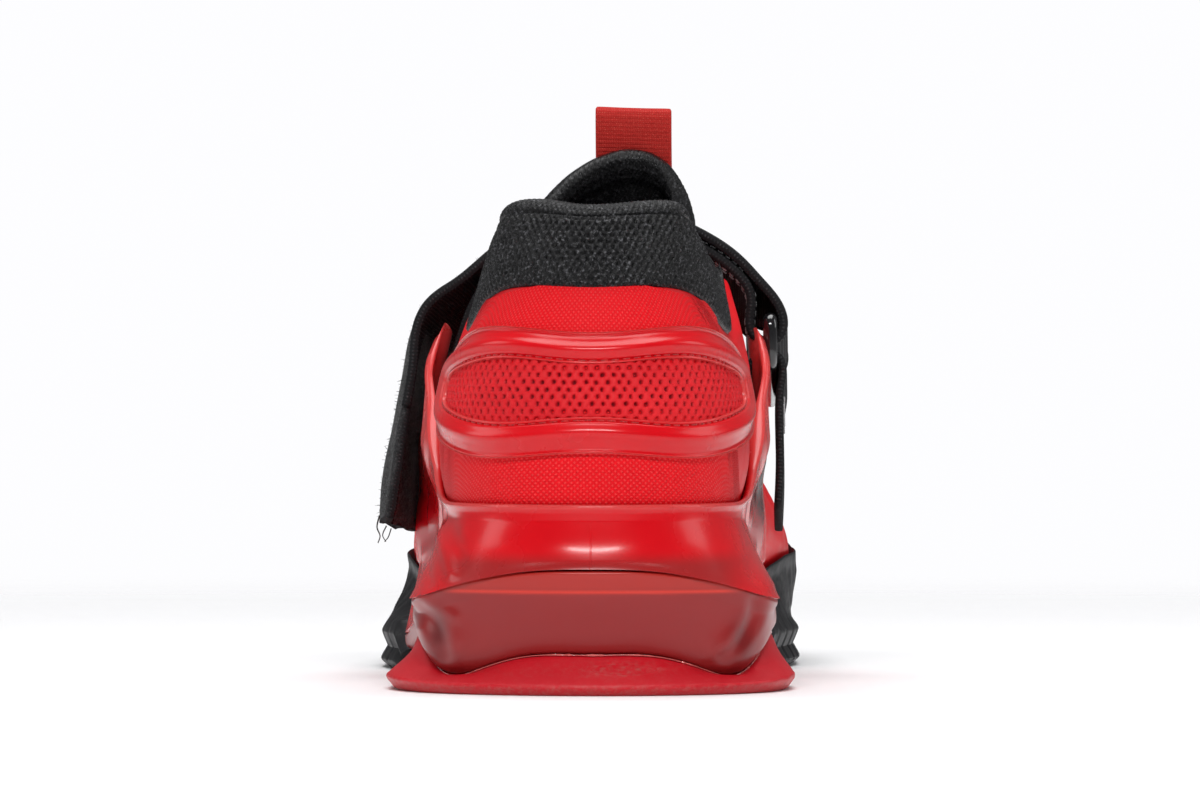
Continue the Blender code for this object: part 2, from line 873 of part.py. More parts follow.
def make_counter_band(finish, parts, origin):
    """The moulded loop round the heel, raised from the shell, with a window inside."""
    sections = []
    for turn in np.linspace(0, 2 * HALF_TURN, BAND_SECTIONS, endpoint=False):
        inner = band_outline(turn, BAND_INNER)
        outer = band_outline(turn, BAND_OUTER)
        section = []
        for share, out in BAND_PROFILE:
            angle, height = inner * (1 - share) + outer * share
            section.append(LAST.at_height(angle, height, out))
        sections.append(section)
    work = swept_solid(sections, closed=True)
    return finish_mesh("counter_band", work, finish, parts, origin)


def band_outline(turn, size):
    """(angle, height) on one edge of the band; size is reach, top, bottom, waist."""
    reach, top, bottom, waist = size
    c, s = math.cos(turn), math.sin(turn)
    angle = reach * c
    hump = math.sin(min(abs(angle) / reach, 1.0) * HALF_TURN) ** 2 * waist
    middle = (top + bottom) / 2
    half = (top - bottom) / 2 + (hump if s > 0 else hump * 0.9)
    return np.array([angle, middle + half * math.copysign(abs(s) ** 0.5, s)])


def cage_section(angle):
    """One section of the cage: foot on the wedge's rim, wall up beside the last."""
    along = float(RIM.along(angle))
    rim, seat = RIM.points(angle), SEAT.points(angle)
    feather_height = LAST.point(angle, 0)[2]
    base = beside_last(angle, seat[2] + SEAT_GAP, SEAT_GAP)
    if along <= WEDGE_FRONT:
        foot = [base, seat + (0, 0, SEAT_GAP), rim + (0, 0, SEAT_GAP)]
    else:
        height = max(rim[2], float(rubber_top(along))) + SEAT_GAP
        foot = [
            beside_last(angle, height, SEAT_GAP),
            beside_last(angle, height, SEAT_GAP + 1.2),
            beside_last(angle, height, SEAT_GAP + 2.6),
        ]
    bottom, top = foot[2][2], float(cage_top(along))
    flat = foot[2] - beside_last(angle, bottom, 0.0)
    foot_wall = np.hypot(flat[0], flat[1]) - SEAT_GAP
    cup_top = min(float(cage_top(0)), top)
    outer, inner = [], []
    for share in CAGE_SHARES:
        height = bottom + (top - bottom) * share
        stand = wing_stand_off(along, height)
        flare = max(1 - (height - bottom) / (cup_top - bottom), 0.0) ** CAGE_FLARE
        wall = CAGE_WALL_TOP + (foot_wall - CAGE_WALL_TOP) * flare
        outer.append(beside_last(angle, height, SEAT_GAP + stand + wall))
        height = max(height, feather_height)
        inner.append(beside_last(angle, height, SEAT_GAP + stand))
    return foot + outer + inner[::-1]


def wing_stand_off(along, height):
    """How far the wing stands off the shell, to let the strap through."""
    rise = min(max((height - WING_ROOT) / (WING_FULL - WING_ROOT), 0.0), 1.0)
    reach = min(max((along - 70) / 22, 0.0), 1.0) * min(max((156 - along) / 16, 0.0), 1.0)
    front = 0.5 * min(max((along - 60) / 15, 0.0), 1.0)
    return WING_STAND_OFF * rise * rise * (3 - 2 * rise) * reach + front


def make_cage(finish, parts, origin):
    """The moulded heel cage with a wing on each side."""
    tip = [RIM.angle_of(along) for along in CAGE_TIP_STATIONS]
    side = np.concatenate([sole_angles(WEDGE_FRONT), tip])
    angles = np.concatenate([-side[:0:-1], side])
    sections = [cage_section(angle % (2 * HALF_TURN)) for angle in angles]
    return finish_mesh("heel_cage", swept_solid(sections, flip=True), finish, parts, origin)


def make_midsole(finish, parts, origin):
    """The foam between the tread and the footbed, inside the cage and the rubber."""
    sections = []
    step = [FEATHER.angle_of(WEDGE_FRONT + 0.4), FEATHER.angle_of(WEDGE_FRONT + 1.2)]
    angles = np.sort(np.concatenate([np.linspace(0, HALF_TURN, MIDSOLE_SECTIONS), step]))
    for angle in angles:
        sides = []
        for a in (angle, (2 * HALF_TURN - angle) % (2 * HALF_TURN)):
            top = FEATHER.points(a) - (0, 0, FIT_GAP)
            along = float(top[1])
            if along < WEDGE_FRONT + 0.5:
                under = float(SEAT.points(SEAT.angle_of(along))[2]) + SEAT_GAP
            else:
                under = float(tread_height(along)) + TREAD_THICKNESS + 2 * FIT_GAP
            low = np.array([top[0] * 0.985, top[1], under])
            sides.append([low, top])
        sections.append(np.array(sides[0] + sides[1][::-1]))
    return finish_mesh("midsole", swept_solid(sections), finish, parts, origin)


def make_insole(finish, parts, origin):
    """The removable footbed, inside the shell's wall."""
    sections = []
    inset = UPPER_WALL + 0.9
    for angle in np.linspace(0, HALF_TURN, MIDSOLE_SECTIONS):
        sides = []
        for a in (angle, (2 * HALF_TURN - angle) % (2 * HALF_TURN)):
            low = FEATHER.points(a) - inset * outwards(a, FEATHER.points(a)[2] + 1)
            if angle in (0, HALF_TURN):
                low[0] = FEATHER.points(a)[0]
            sides.append([low, low + (0, 0, INSOLE_THICKNESS)])
        sections.append(np.array(sides[0] + sides[1][::-1]))
    return finish_mesh("insole", swept_solid(sections), finish, parts, origin)


def make_wedge(finish, parts, origin):
    """The raised heel block, whose two back corners hang down as rounded lobes."""
    stack = [
        Lifted(CORE, FIT_GAP / 2),
        Lifted(SEAM, FIT_GAP / 2),
        Ring(WEDGE_LOW_RING),
        Ring(WEDGE_FACE_RING),
        RIM,
        SEAT,
    ]
    work = sole_solid(stack, WEDGE_FRONT)
    return finish_mesh("heel_wedge", work, finish, parts, origin)


def make_heel_tread(finish, parts, origin):
    """The flared rubber under the heel."""
    stack = [
        Ring(HEEL_TREAD_RING),
        Ring(HEEL_LIP_RING),
        Ring(HEEL_FLARE_RING),
        Lifted(SEAM, -FIT_GAP / 2),
        Lifted(CORE, -FIT_GAP / 2),
    ]
    work = sole_solid(stack, HEEL_TREAD_FRONT, flip=True)
    return finish_mesh("heel_outsole", work, finish, parts, origin)


def forefoot_side(angle):
    """One side's points of the forefoot tread, from the floor out, up and back in."""
    edge = FOREFOOT_EDGE.points(angle)
    along = float(edge[1])
    floor, top = float(tread_height(along)), float(rubber_top(along))
    _, low_along, low = LAST.point(angle, 0)
    base = float(tread_height(low_along)) + TREAD_THICKNESS
    out = outwards(angle, low + 1)
    squeeze = min(1.0, (top - floor - 0.8) / (FOREFOOT_STEPS[-1][2] + 3.0))
    points = []
    for _, inset, rise in FOREFOOT_STEPS:
        point = edge - inset * out
        point[2] = floor + rise * squeeze
        points.append(point)
    slope = min(5.0, (top - base) / 3)
    inner_low = low if top > low + 1 else top - (top - base) / 1.5
    for height, gap in (
        (top - slope, RUBBER_EDGE + 0.7),
        (top, RUBBER_EDGE),
        (top, 0.0),
        (top * 0.75 + inner_low * 0.25, 0.0),
        (top * 0.5 + inner_low * 0.5, 0.0),
        (top * 0.25 + inner_low * 0.75, 0.0),
        (inner_low, 0.0),
        (base, 0.0),
    ):
        points.append(beside_last(angle, height, RUBBER_GAP + gap))
    return points


def make_forefoot_tread(finish, parts, origin):
    """The black rubber under the forefoot, which wraps up its sides and the toe."""
    stations = [FOREFOOT_EDGE.angle_of(along) for along in FOREFOOT_STATIONS]
    toe = np.linspace(stations[-1], HALF_TURN, TOE_SECTIONS)[1:]
    sections = []
    for angle in np.concatenate([stations, toe]):
        medial = forefoot_side(angle)
        lateral = forefoot_side((2 * HALF_TURN - angle) % (2 * HALF_TURN))
        sections.append(np.array(medial + lateral[::-1]))
    sections[0][:, 1] = FOREFOOT_REAR
    return finish_mesh("forefoot_outsole", swept_solid(sections), finish, parts, origin)


def tongue_section(along, half_width, shift=(0, 0, 0)):
    """One row across the tongue, from the lateral side to the medial."""
    row = []
    for distance in np.linspace(-half_width, half_width, TONGUE_COLUMNS + 1):
        angle = LAST.angle_at(along, 1 if distance > 0 else -1)
        point = LAST.below_top(angle, abs(distance), -UPPER_WALL - 1.0)
        row.append(point + np.array(shift, float))
    return row


def make_tongue(finish, parts, origin):
    """The padded tongue, under the throat and up out of it."""
    grid = [tongue_section(along, half) for along, half in TONGUE_ROWS]
    for across, along, up, half in TONGUE_RISE:
        grid.append(tongue_section(TONGUE_ROWS[-1][0], half, (across, along, up)))
    work = bmesh.new()
    add_grid(work, grid)
    made = finish_mesh("tongue", work, finish, parts, origin)
    pad = made.modifiers.new("Padding", "SOLIDIFY")
    pad.thickness = TONGUE_THICKNESS * MM
    pad.offset = -1
    return made


def ribbon(path, reaches, thicknesses, bows=None):
    """Sections of a flat strip: its rear edge's path, the way across it to its front
    edge, and how far its middle bows out."""
    sections = []
    bows = np.zeros(len(path)) if bows is None else bows
    steps = np.gradient(path, axis=0)
    for point, step, reach, thickness, bow in zip(path, steps, reaches, thicknesses, bows):
        normal = np.cross(step, reach)
        normal = normal / np.linalg.norm(normal)
        half, middle = normal * thickness / 2, point + reach / 2 + normal * bow
        front = point + reach
        section = [point - half, point + half]
        if np.any(bows):
            section.append(middle + half)
        section += [front + half, front - half]
        if np.any(bows):
            section.append(middle - half)
        sections.append(section)
    return sections


def smooth_rows(rows):
    """A table's rows, with one more between each two, on a smooth curve through them."""
    rows = np.array(rows, float)
    run = np.concatenate([[0], np.cumsum(np.hypot(*np.diff(rows[:, :2], axis=0).T))])
    places = np.interp(np.arange(0, len(rows) - 0.75, 0.5), np.arange(len(rows)), run)
    return np.stack([Spline(run, rows[:, k])(places) for k in range(rows.shape[1])], -1)


def make_strap(finish, parts, origin):
    """The hook-and-loop strap: over the instep, through the ring and back."""
    rows = smooth_rows(STRAP_PATH)
    path = np.stack([rows[:, 0], np.full(len(rows), STRAP_REAR), rows[:, 1]], -1)
    work = swept_solid(ribbon(path, rows[:, 2:5], rows[:, 5], rows[:, 6]))
    return finish_mesh("strap", work, finish, parts, origin)


def make_pull_loop(finish, parts, origin):
    """The folded webbing on the front of the tongue."""
    rows = smooth_rows(PULL_LOOP_PATH)
    left = PULL_LOOP_X - PULL_LOOP_WIDTH / 2
    path = np.stack([np.full(len(rows), left), rows[:, 0], rows[:, 1]], -1)
    reaches = np.tile((PULL_LOOP_WIDTH, 0.0, 0.0), (len(rows), 1))
    work = swept_solid(ribbon(path, reaches, np.full(len(rows), PULL_LOOP_THICKNESS)))
    return finish_mesh("pull_loop", work, finish, parts, origin)


def make_strap_ring(finish, parts, origin):
    """A rounded frame of round bar, upright beside the ankle."""
    top, bottom = RING_HEIGHTS
    long_half, high_half = RING_LENGTH / 2 - RING_CORNER, (top - bottom) / 2 - RING_CORNER
    sections = []
    for step in range(16):
        turn = (step - step % 4) * HALF_TURN / 8 + (step % 4) * HALF_TURN / 6
        corner = (step - step % 4) * HALF_TURN / 8 + HALF_TURN / 4
        c, s = math.cos(turn), math.sin(turn)
        along = math.copysign(long_half, math.cos(corner)) + RING_CORNER * c
        height = math.copysign(high_half, math.sin(corner)) + RING_CORNER * s
        centre = np.array([RING_X, RING_REAR + RING_LENGTH / 2 + along, (top + bottom) / 2])
        centre[2] += height + (along + RING_LENGTH / 2) * RING_LEAN
        outward = np.array([0.0, c, s])
        section = []
        for bar in np.linspace(0, 2 * HALF_TURN, 8, endpoint=False):
            level = np.array([1.0, 0.0, 0.0]) * math.cos(bar) + outward * math.sin(bar)
            section.append(centre + level * RING_BAR / 2)
        sections.append(section)
    work = swept_solid(sections, closed=True)
    return finish_mesh("strap_ring", work, finish, parts, origin)


def make_ring_tab(finish, parts, origin):
    """The webbing that holds the ring's lower bar and runs down outside the wing."""
    rows = smooth_rows(TAB_PATH)
    path = np.stack([rows[:, 0], np.full(len(rows), RING_TAB_REAR), rows[:, 1]], -1)
    reaches = np.tile((0.0, TAB_WIDTH, TAB_WIDTH * RING_LEAN), (len(rows), 1))
    work = swept_solid(ribbon(path, reaches, np.full(len(rows), TAB_THICKNESS)))
    return finish_mesh("ring_tab", work, finish, parts, origin)


def lace_run(start, end, lift):
    """Sections of a flat lace over the throat between two eyelets."""
    (along_a, side_a), (along_b, side_b) = start, end
    reach_a = side_a * (float(shell_margin(along_a)) + EYELET_INSET)
    reach_b = side_b * (float(shell_margin(along_b)) + EYELET_INSET)
    out = LACE_CLEARANCE + LACE_THICKNESS / 2 + lift
    rear, front = [], []
    for share in np.linspace(-0.06, 1.06, 7):
        along = along_a + (along_b - along_a) * share
        distance = reach_a + (reach_b - reach_a) * share
        for edge, shift in ((rear, -0.5), (front, 0.5)):
            angle = LAST.angle_at(along + shift * LACE_WIDTH, 1 if distance > 0 else -1)
            edge.append(LAST.below_top(angle, abs(distance), out))
    rear, reaches = np.array(rear), np.array(front) - np.array(rear)
    return ribbon(rear, reaches, np.full(len(rear), LACE_THICKNESS))


def lace_mesh(runs):
    """One bmesh holding several runs that don't touch one another."""
    work = bmesh.new()
    for start, end, lift in runs:
        verts = add_grid(work, lace_run(start, end, lift), wrap_columns=True)
        work.faces.new(verts[0])
        work.faces.new(verts[-1])
    return work


def make_laces(finish, parts, origin):
    """The crossed laces and the bar at the front, joined where they cross."""
    pairs = list(zip(EYELET_ROWS, EYELET_ROWS[1:]))
    rightward = [((a, -1), (b, 1), 0.0) for a, b in pairs]
    leftward = [((a, 1), (b, -1), 0.5) for a, b in pairs]
    bar = [((EYELET_ROWS[0], -1), (EYELET_ROWS[0], 1), 0.25)]
    made = finish_mesh("laces", lace_mesh(rightward), finish, parts, origin)
    for name, runs in (("lace_crossings", leftward), ("lace_bar", bar)):
        join = made.modifiers.new(name, "BOOLEAN")
        join.operation = "UNION"
        join.solver = "EXACT"
        join.object = make_helper(name, lace_mesh(runs), parts, origin)
    return made


def main():
    clear_scene()
    scene = bpy.context.scene
    parts = bpy.data.collections.new("weightlifting_shoe")
    scene.collection.children.link(parts)
    origin = bpy.data.objects.new("shoe_origin", None)
    origin.location = Vector((-CENTRE_X, -CENTRE_Y, 0)) * MM
    parts.objects.link(origin)
    red = material("upper_red", (0.72, 0.02, 0.02), 0.55)
    red_rubber = material("red_rubber", (0.55, 0.02, 0.02), 0.5)
    cage = material("red_moulding", (0.5, 0.01, 0.01), 0.25)
    red_webbing = material("red_webbing", (0.55, 0.04, 0.03), 0.8)
    black_rubber = material("black_rubber", (0.02, 0.02, 0.022), 0.6)
    black_mesh = material("black_mesh", (0.015, 0.015, 0.017), 0.8)
    black_webbing = material("black_webbing", (0.02, 0.02, 0.02), 0.85)
    black_plastic = material("black_plastic", (0.01, 0.01, 0.01), 0.2)
    make_upper(red, parts, origin)
    make_collar(black_mesh, parts, origin)
    make_counter_band(cage, parts, origin)
    make_cage(cage, parts, origin)
    make_wedge(cage, parts, origin)
    make_heel_tread(red_rubber, parts, origin)
    make_forefoot_tread(black_rubber, parts, origin)
    make_midsole(red_rubber, parts, origin)
    make_insole(black_mesh, parts, origin)
    make_tongue(black_mesh, parts, origin)
    make_pull_loop(red_webbing, parts, origin)
    make_strap(black_webbing, parts, origin)
    make_strap_ring(black_plastic, parts, origin)
    make_ring_tab(black_webbing, parts, origin)
    make_laces(black_webbing, parts, origin)


main()
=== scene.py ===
"""The dressed weightlifting shoe: mesh, webbing, mouldings and rubber round its solids.

Sizes and tables are in millimetres, measured from the back of the heel and from the
shoe's long axis, as in the part's source. SHIFT and MM turn them into the frame.
"""

import math

import bmesh
import bpy
import numpy as np
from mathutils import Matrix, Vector


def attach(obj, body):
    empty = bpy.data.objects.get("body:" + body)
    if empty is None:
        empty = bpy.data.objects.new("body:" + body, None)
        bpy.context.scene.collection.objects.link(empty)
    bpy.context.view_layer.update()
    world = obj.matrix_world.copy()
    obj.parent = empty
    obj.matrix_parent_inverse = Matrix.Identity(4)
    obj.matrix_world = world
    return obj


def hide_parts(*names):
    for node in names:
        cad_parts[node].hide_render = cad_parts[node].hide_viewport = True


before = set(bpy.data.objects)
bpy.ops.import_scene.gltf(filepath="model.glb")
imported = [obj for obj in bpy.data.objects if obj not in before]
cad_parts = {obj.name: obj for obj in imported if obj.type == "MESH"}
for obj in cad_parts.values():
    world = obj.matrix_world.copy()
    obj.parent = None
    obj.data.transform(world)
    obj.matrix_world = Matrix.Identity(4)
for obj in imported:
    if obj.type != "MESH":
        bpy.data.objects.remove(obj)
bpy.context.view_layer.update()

MM = 0.001
SHIFT = np.array((5.0, -148.0, 0.0))
HALF_TURN = math.pi
FULL_TURN = 2 * math.pi
HEEL_FADE = 4
STRAY_SEED = 7

# ---------------------------------------------------------------- the part's tables

FIT_GAP = 0.35
SEAT_GAP = 0.45
RUBBER_GAP = 0.6
UPPER_WALL = 2.4
TREAD_LINE = ((0, 0), (228, 0), (250, 1.3), (270, 4.4), (284, 7.6), (296, 11.0))

# Rings of the last: along, medial half, lateral half, height
FEATHER_RING = (
    (9, 0, 0, 33), (23, 22, -22, 33), (50, 30, -31, 32.5), (105, 27.5, -33.5, 25.6),
    (146, 31, -40, 18.5), (188, 41, -47, 15.6), (215, 43, -46.5, 15.7), (246, 39, -39, 18),
    (266, 33, -30, 20.6), (278, 23.5, -15.5, 23), (284, 6, 6, 24),
)
BULGE_RING = (
    (4, 0, 0, 60), (18, 27, -27, 59), (47, 37.2, -37.6, 56), (104, 35, -39, 50),
    (146, 38, -46, 41), (189, 46, -51.5, 32), (218, 46.5, -50.5, 29), (248, 42.5, -43.5, 30),
    (270, 36, -33.5, 32), (283, 25, -17, 34), (289.5, 6, 6, 35),
)
SIDE_RING = (
    (6.5, 0, 0, 80), (20, 25.5, -25.5, 80), (49, 35, -35.2, 77), (104, 33, -35.5, 74),
    (146, 34, -40, 61), (188, 41, -46, 46), (215, 42, -45, 40), (246, 37.5, -38, 40),
    (266, 31.5, -28.5, 43), (279, 21.5, -12.5, 45), (286, 6, 6, 46),
)
SHOULDER_RING = (
    (11, 0, 0, 100), (24, 22.5, -22, 99), (50, 30, -29, 92), (100, 29, -28, 97),
    (122, 27, -27, 94), (145, 25, -27.5, 80), (180, 28, -29.5, 61), (215, 29, -29, 49.5),
    (242, 26, -23, 48), (260, 20.5, -13, 50), (276, 6, 6, 52),
)
TOP_RING = (
    (15.5, 0, 0, 118), (24, 17, -16, 118), (40, 25, -23.5, 112), (62, 28.5, -27, 101),
    (84, 29, -27, 102.5), (102, 25.5, -21, 109), (112, 17, -7, 110), (120, 7, 7, 108),
    (146, 5, 5, 91.5), (170, 3.5, 3.5, 77.5), (192, 3, 3, 67), (215, 3, 3, 59),
    (240, 4, 4, 54.5), (262, 6, 6, 54),
)

# Where the red shell stops, measured down from the top ring: along the top, margin
SHELL_MARGIN = (
    (15.5, 20), (30, 20), (45, 19), (62, 14), (80, 9), (96, 5), (103, 3.5), (112, 10),
    (120, 19), (146, 17.5), (170, 15), (182, 12.5), (188, 9.5), (192, 6), (194, 0), (262, 0),
)
COLLAR_FRONT = 96.0

# Sole rings: along, medial half, lateral half, height
HEEL_TREAD_RING = (
    (2, 0, 0, 0), (9.5, 28, -28, 0), (24, 42, -43, 0), (43, 46.8, -49, 0), (76, 44, -47, 0),
    (106, 38.5, -44.5, 0), (150, 41, -51, 0), (296, 8, 8, 0),
)
HEEL_LIP_RING = (
    (0, 0, 0, 2.2), (7.5, 29, -29, 2.4), (22, 44.2, -45.4, 3), (42, 49.2, -51.4, 3.4),
    (75, 46, -49.2, 3), (106, 40, -46, 2.4), (150, 42, -52, 2.4), (296, 8, 8, 2.4),
)
HEEL_FLARE_RING = (
    (4.6, 0, 0, 5.8), (10, 25, -25, 5.2), (21.5, 38.5, -38.5, 4.8), (40, 44.6, -44.8, 8.4),
    (74, 43.2, -45, 7.6), (106, 38.6, -44.2, 6), (150, 41, -51, 5), (296, 8, 8, 5),
)
HEEL_SEAM_RING = (
    (8, 0, 0, 9.6), (10.5, 17, -17, 9), (14, 26, -26, 6.4), (20, 34, -34, 4.2),
    (28, 39.4, -39.4, 8), (40, 42.2, -42.4, 13), (72, 41.8, -43.4, 12), (106, 37.6, -43, 9.4),
    (138, 40, -48.4, 5.6), (150, 42, -51, 5.4), (296, 8, 8, 5.4),
)
HEEL_CORE_RING = (
    (20, 0, 0, 9), (24, 15, -15, 9), (36, 26, -26, 9), (54, 32, -32, 9), (80, 32, -34, 9),
    (106, 29, -34, 8.6), (138, 32, -40, 5.4), (150, 33, -42, 5.4), (296, 8, 8, 5.4),
)
WEDGE_LOW_RING = (
    (5.4, 0, 0, 14.5), (8.6, 19, -19, 14), (14, 30, -30, 12), (21, 38.6, -38.6, 10.5),
    (30, 42.6, -42.6, 13), (42, 43.8, -44.2, 16), (72, 43, -44.6, 15), (106, 39, -44.6, 12.6),
    (138, 41.5, -50, 7.6), (150, 43, -52, 7), (296, 8, 8, 7),
)
WEDGE_FACE_RING = (
    (2.2, 0, 0, 24), (6, 20, -20, 23.6), (13, 32, -32, 21.4), (22, 40.6, -40.6, 18.6),
    (33, 43.6, -43.6, 18.4), (45, 44, -44.6, 19.2), (72, 43.2, -45, 18.6),
    (106, 39.6, -45, 15.6), (138, 42, -50.4, 9), (150, 43.4, -52.2, 8.2), (296, 8, 8, 8.2),
)
WEDGE_RIM_RING = (
    (0.6, 0, 0, 30), (4.6, 20, -20, 29.2), (12, 33.5, -33.5, 26.4), (22, 42, -42, 23.2),
    (33, 44.8, -44.8, 22), (46, 44.8, -45.2, 22), (72, 43.6, -45.6, 21), (106, 40, -45.4, 18),
    (138, 42.4, -50.6, 10.8), (150, 43.6, -52.4, 9.4), (296, 8, 8, 9.4),
)
WEDGE_SEAT_RING = (
    (7.5, 0, 0, 30), (12, 19, -19, 30), (24, 31.5, -31.5, 30), (46, 37, -37.4, 30),
    (72, 36.6, -38.4, 27.4), (106, 33.6, -38.8, 21.6), (138, 35.6, -43.6, 11.2),
    (150, 37, -45.6, 9.4), (296, 8, 8, 9.4),
)
HEEL_TREAD_FRONT = 106.0
WEDGE_FRONT = 146.0

FOREFOOT_EDGE_RING = (
    (2, 0, 0, 2), (20, 36, -36, 2), (60, 40, -43, 2), (100, 37, -44, 2), (132, 40, -48.6, 2),
    (160, 45, -57, 2), (186, 49.4, -60, 2), (212, 49.6, -57.5, 2), (238, 46.8, -51, 2),
    (260, 42, -41.5, 2), (277, 35, -29.5, 2), (288.5, 27, -18.5, 2), (294.3, 17, -6.5, 2),
    (296, 6, 6, 2),
)
# Inset from the edge, and rise above the floor line
FOREFOOT_STEPS = ((2.6, 0.0), (0.0, 2.2), (1.9, 5.6), (0.3, 9.6), (2.4, 13.0))
FOREFOOT_REAR = 146.35
TREAD_THICKNESS = 5.0
RUBBER_TOP = (
    (0, 6), (146.4, 6), (149, 10), (158, 20.5), (170, 27), (185, 29.5), (228, 30), (262, 34),
    (280, 41), (296, 45),
)
CAGE_TOP = (
    (0, 46), (38, 46), (56, 48), (72, 55), (86, 68), (97, 83), (104, 88), (114, 86), (126, 75),
    (138, 58), (150, 40), (162, 27), (296, 27),
)
CAGE_WALL_TOP = 1.7
CAGE_LIP = 0.85
CAGE_FLARE = 1.3
WING_STAND_OFF = 4.6
WING_ROOT = 44.0
WING_FULL = 62.0
RUBBER_EDGE = 1.3

# The counter band: reach round the heel, top, bottom and waist of each edge
BAND_INNER = (0.74, 79.6, 67.1, 1.9)
BAND_OUTER = (0.91, 87.3, 58.4, 2.4)

COLLAR_BACK_PAD = 10.5
COLLAR_END_PAD = 5.5
COLLAR_BACK_DROP = 26.0
COLLAR_END_DROP = 8.0

TONGUE_ROWS = ((186, 27), (177, 27), (166, 26), (154, 25), (142, 24), (131, 22), (122, 21))
TONGUE_RISE = (
    (0.0, -10, 6.5, 23), (-0.8, -19, 14, 24.5), (-1.4, -27, 22, 25), (-1.6, -31, 27, 24.5),
    (-1.6, -33, 30, 23.5),
)
TONGUE_THICKNESS = 5.0

# The pull loop, seen from the side: along, height
PULL_LOOP_PATH = (
    (99.7, 121.6), (95.1, 126.6), (91.1, 131.5), (89.4, 136.2), (88.6, 140.6), (89.2, 142.8),
    (90.9, 143.1), (92.1, 141.3), (92.9, 137.6), (94.6, 133.4), (98.2, 128.9), (103.0, 123.7),
)
PULL_LOOP_X = 8.4
PULL_LOOP_WIDTH = 19.0
PULL_LOOP_THICKNESS = 1.5

# The strap at its rear edge: x, z, way across x, y, z, thickness, bow
STRAP_REAR = 110.0
STRAP_PATH = (
    (-39.1, 69, -1.8, 37.5, -4, 2.2, 0.6), (-38.1, 76, -0.2, 37.5, -4, 2.2, 1.4),
    (-35.6, 86, 3.6, 37, -6, 2.2, 2.5), (-31.6, 96.4, 7, 35.5, -8, 2.2, 3),
    (-24, 105.6, 8, 34, -12, 2.2, 2.5), (-12, 112.8, 5, 33, -14.5, 2.2, 1.4),
    (6, 116, 0, 32, -16, 2.2, 0.5), (23, 110.2, -3, 34, -14, 2.2, 1),
    (33, 103.8, -1, 35, -13, 2.2, 1), (37.6, 97.4, 0, 36.5, -11, 2.2, 0.4),
    (37.6, 92.6, 0, 37, -9, 2.2, 0), (37.6, 88.4, 0, 37, -9, 2.2, 0),
    (39.6, 85.7, 0, 37, -9, 2.2, 0), (42.4, 84.9, 0, 37, -9, 2.2, 0),
    (45.0, 86.4, 0, 37, -9, 2.2, 0), (46.0, 90.5, 0, 37, -9, 2.2, 0),
    (45.2, 93.4, 0, 37, -9, 2.2, 0), (42.9, 97, 0, 37, -9, 2.2, 0),
    (40.0, 100.2, 0, 36.5, -11, 2.2, -0.4), (34.4, 106, -1, 35, -13, 2.2, -1),
    (24.2, 112.8, -3, 34, -14, 2.2, -1), (6.3, 118.8, 0, 32, -16, 2.2, -0.5),
    (-13, 115.4, 5, 33, -14.5, 2.2, -1.4), (-26.6, 108.4, 8, 34, -12, 2.2, -2.5),
    (-36.8, 100.2, 8, 35.5, -9, 2.2, -2.5), (-45.0, 94.6, 7, 36.4, -8, 2.2, -1.5),
    (-49.2, 88, 5, 37, -7, 2.2, -1), (-51.2, 78, 3, 37.3, -5, 2.2, -0.6),
    (-53.2, 66, 2.5, 37.5, -4, 3.2, -0.4), (-56.4, 50, 2.5, 37.3, -4, 3.2, 0),
    (-57.4, 39.4, 2.5, 37, -4, 3.0, 0),
)

RING_X = 42.6
RING_HEIGHTS = (91.4, 80.2)
RING_LENGTH = 45.0
RING_CORNER = 3.0
RING_LEAN = -9.0 / 37.0
RING_REAR = 106.0
RING_BAR = 3.6
RING_TAB_REAR = 111.5
TAB_PATH = (
    (37.8, 56), (37.0, 65), (37.0, 74), (37.6, 79.6), (39.8, 81.7), (42.6, 82.3), (44.6, 81.6),
    (45.6, 79.6), (45.2, 74), (44.9, 64), (45.0, 54), (44.6, 44.5),
)
TAB_THICKNESS = 2.2
TAB_WIDTH = 34.0

EYELET_ROWS = (182.0, 171.0, 160.0, 149.0, 138.0)
EYELET_INSET = 6.5
EYELET_RADIUS = 2.3
LACE_WIDTH = 6.0
LACE_THICKNESS = 1.6
LACE_CLEARANCE = 0.6


# ---------------------------------------------------------------- curves and the last


def running(steps):
    """0, and then the sum of the steps so far."""
    return np.concatenate([[0], np.cumsum(steps)])


class Spline:
    """A smooth curve through values at given places. period closes it round."""

    def __init__(self, places, values, period=None):
        self.places = np.asarray(places, float)
        self.values = np.asarray(values, float)
        self.period = period
        self.bends = self._solve()

    def _solve(self):
        places, values, count = self.places, self.values, len(self.places)
        matrix = np.zeros((count, count))
        right = np.zeros(count)
        for i in range(count):
            if self.period is None and i in (0, count - 1):
                matrix[i, i] = 1.0
                continue
            before, after = (i - 1) % count, (i + 1) % count
            back = places[i] - places[before]
            ahead = places[after] - places[i]
            if self.period is not None:
                back, ahead = back % self.period, ahead % self.period
            matrix[i, before] += back / 6
            matrix[i, i] += (back + ahead) / 3
            matrix[i, after] += ahead / 6
            right[i] = (values[after] - values[i]) / ahead - (
                values[i] - values[before]
            ) / back
        return np.linalg.solve(matrix, right)

    def __call__(self, where):
        where = np.asarray(where, float)
        places, values, bends = self.places, self.values, self.bends
        if self.period is not None:
            where = (where - places[0]) % self.period + places[0]
            places = np.append(places, places[0] + self.period)
            values = np.append(values, values[0])
            bends = np.append(bends, bends[0])
        i = np.clip(np.searchsorted(places, where, "right") - 1, 0, len(places) - 2)
        width = places[i + 1] - places[i]
        a = (places[i + 1] - where) / width
        b = 1 - a
        return (
            a * values[i]
            + b * values[i + 1]
            + ((a**3 - a) * bends[i] + (b**3 - b) * bends[i + 1]) * width**2 / 6
        )


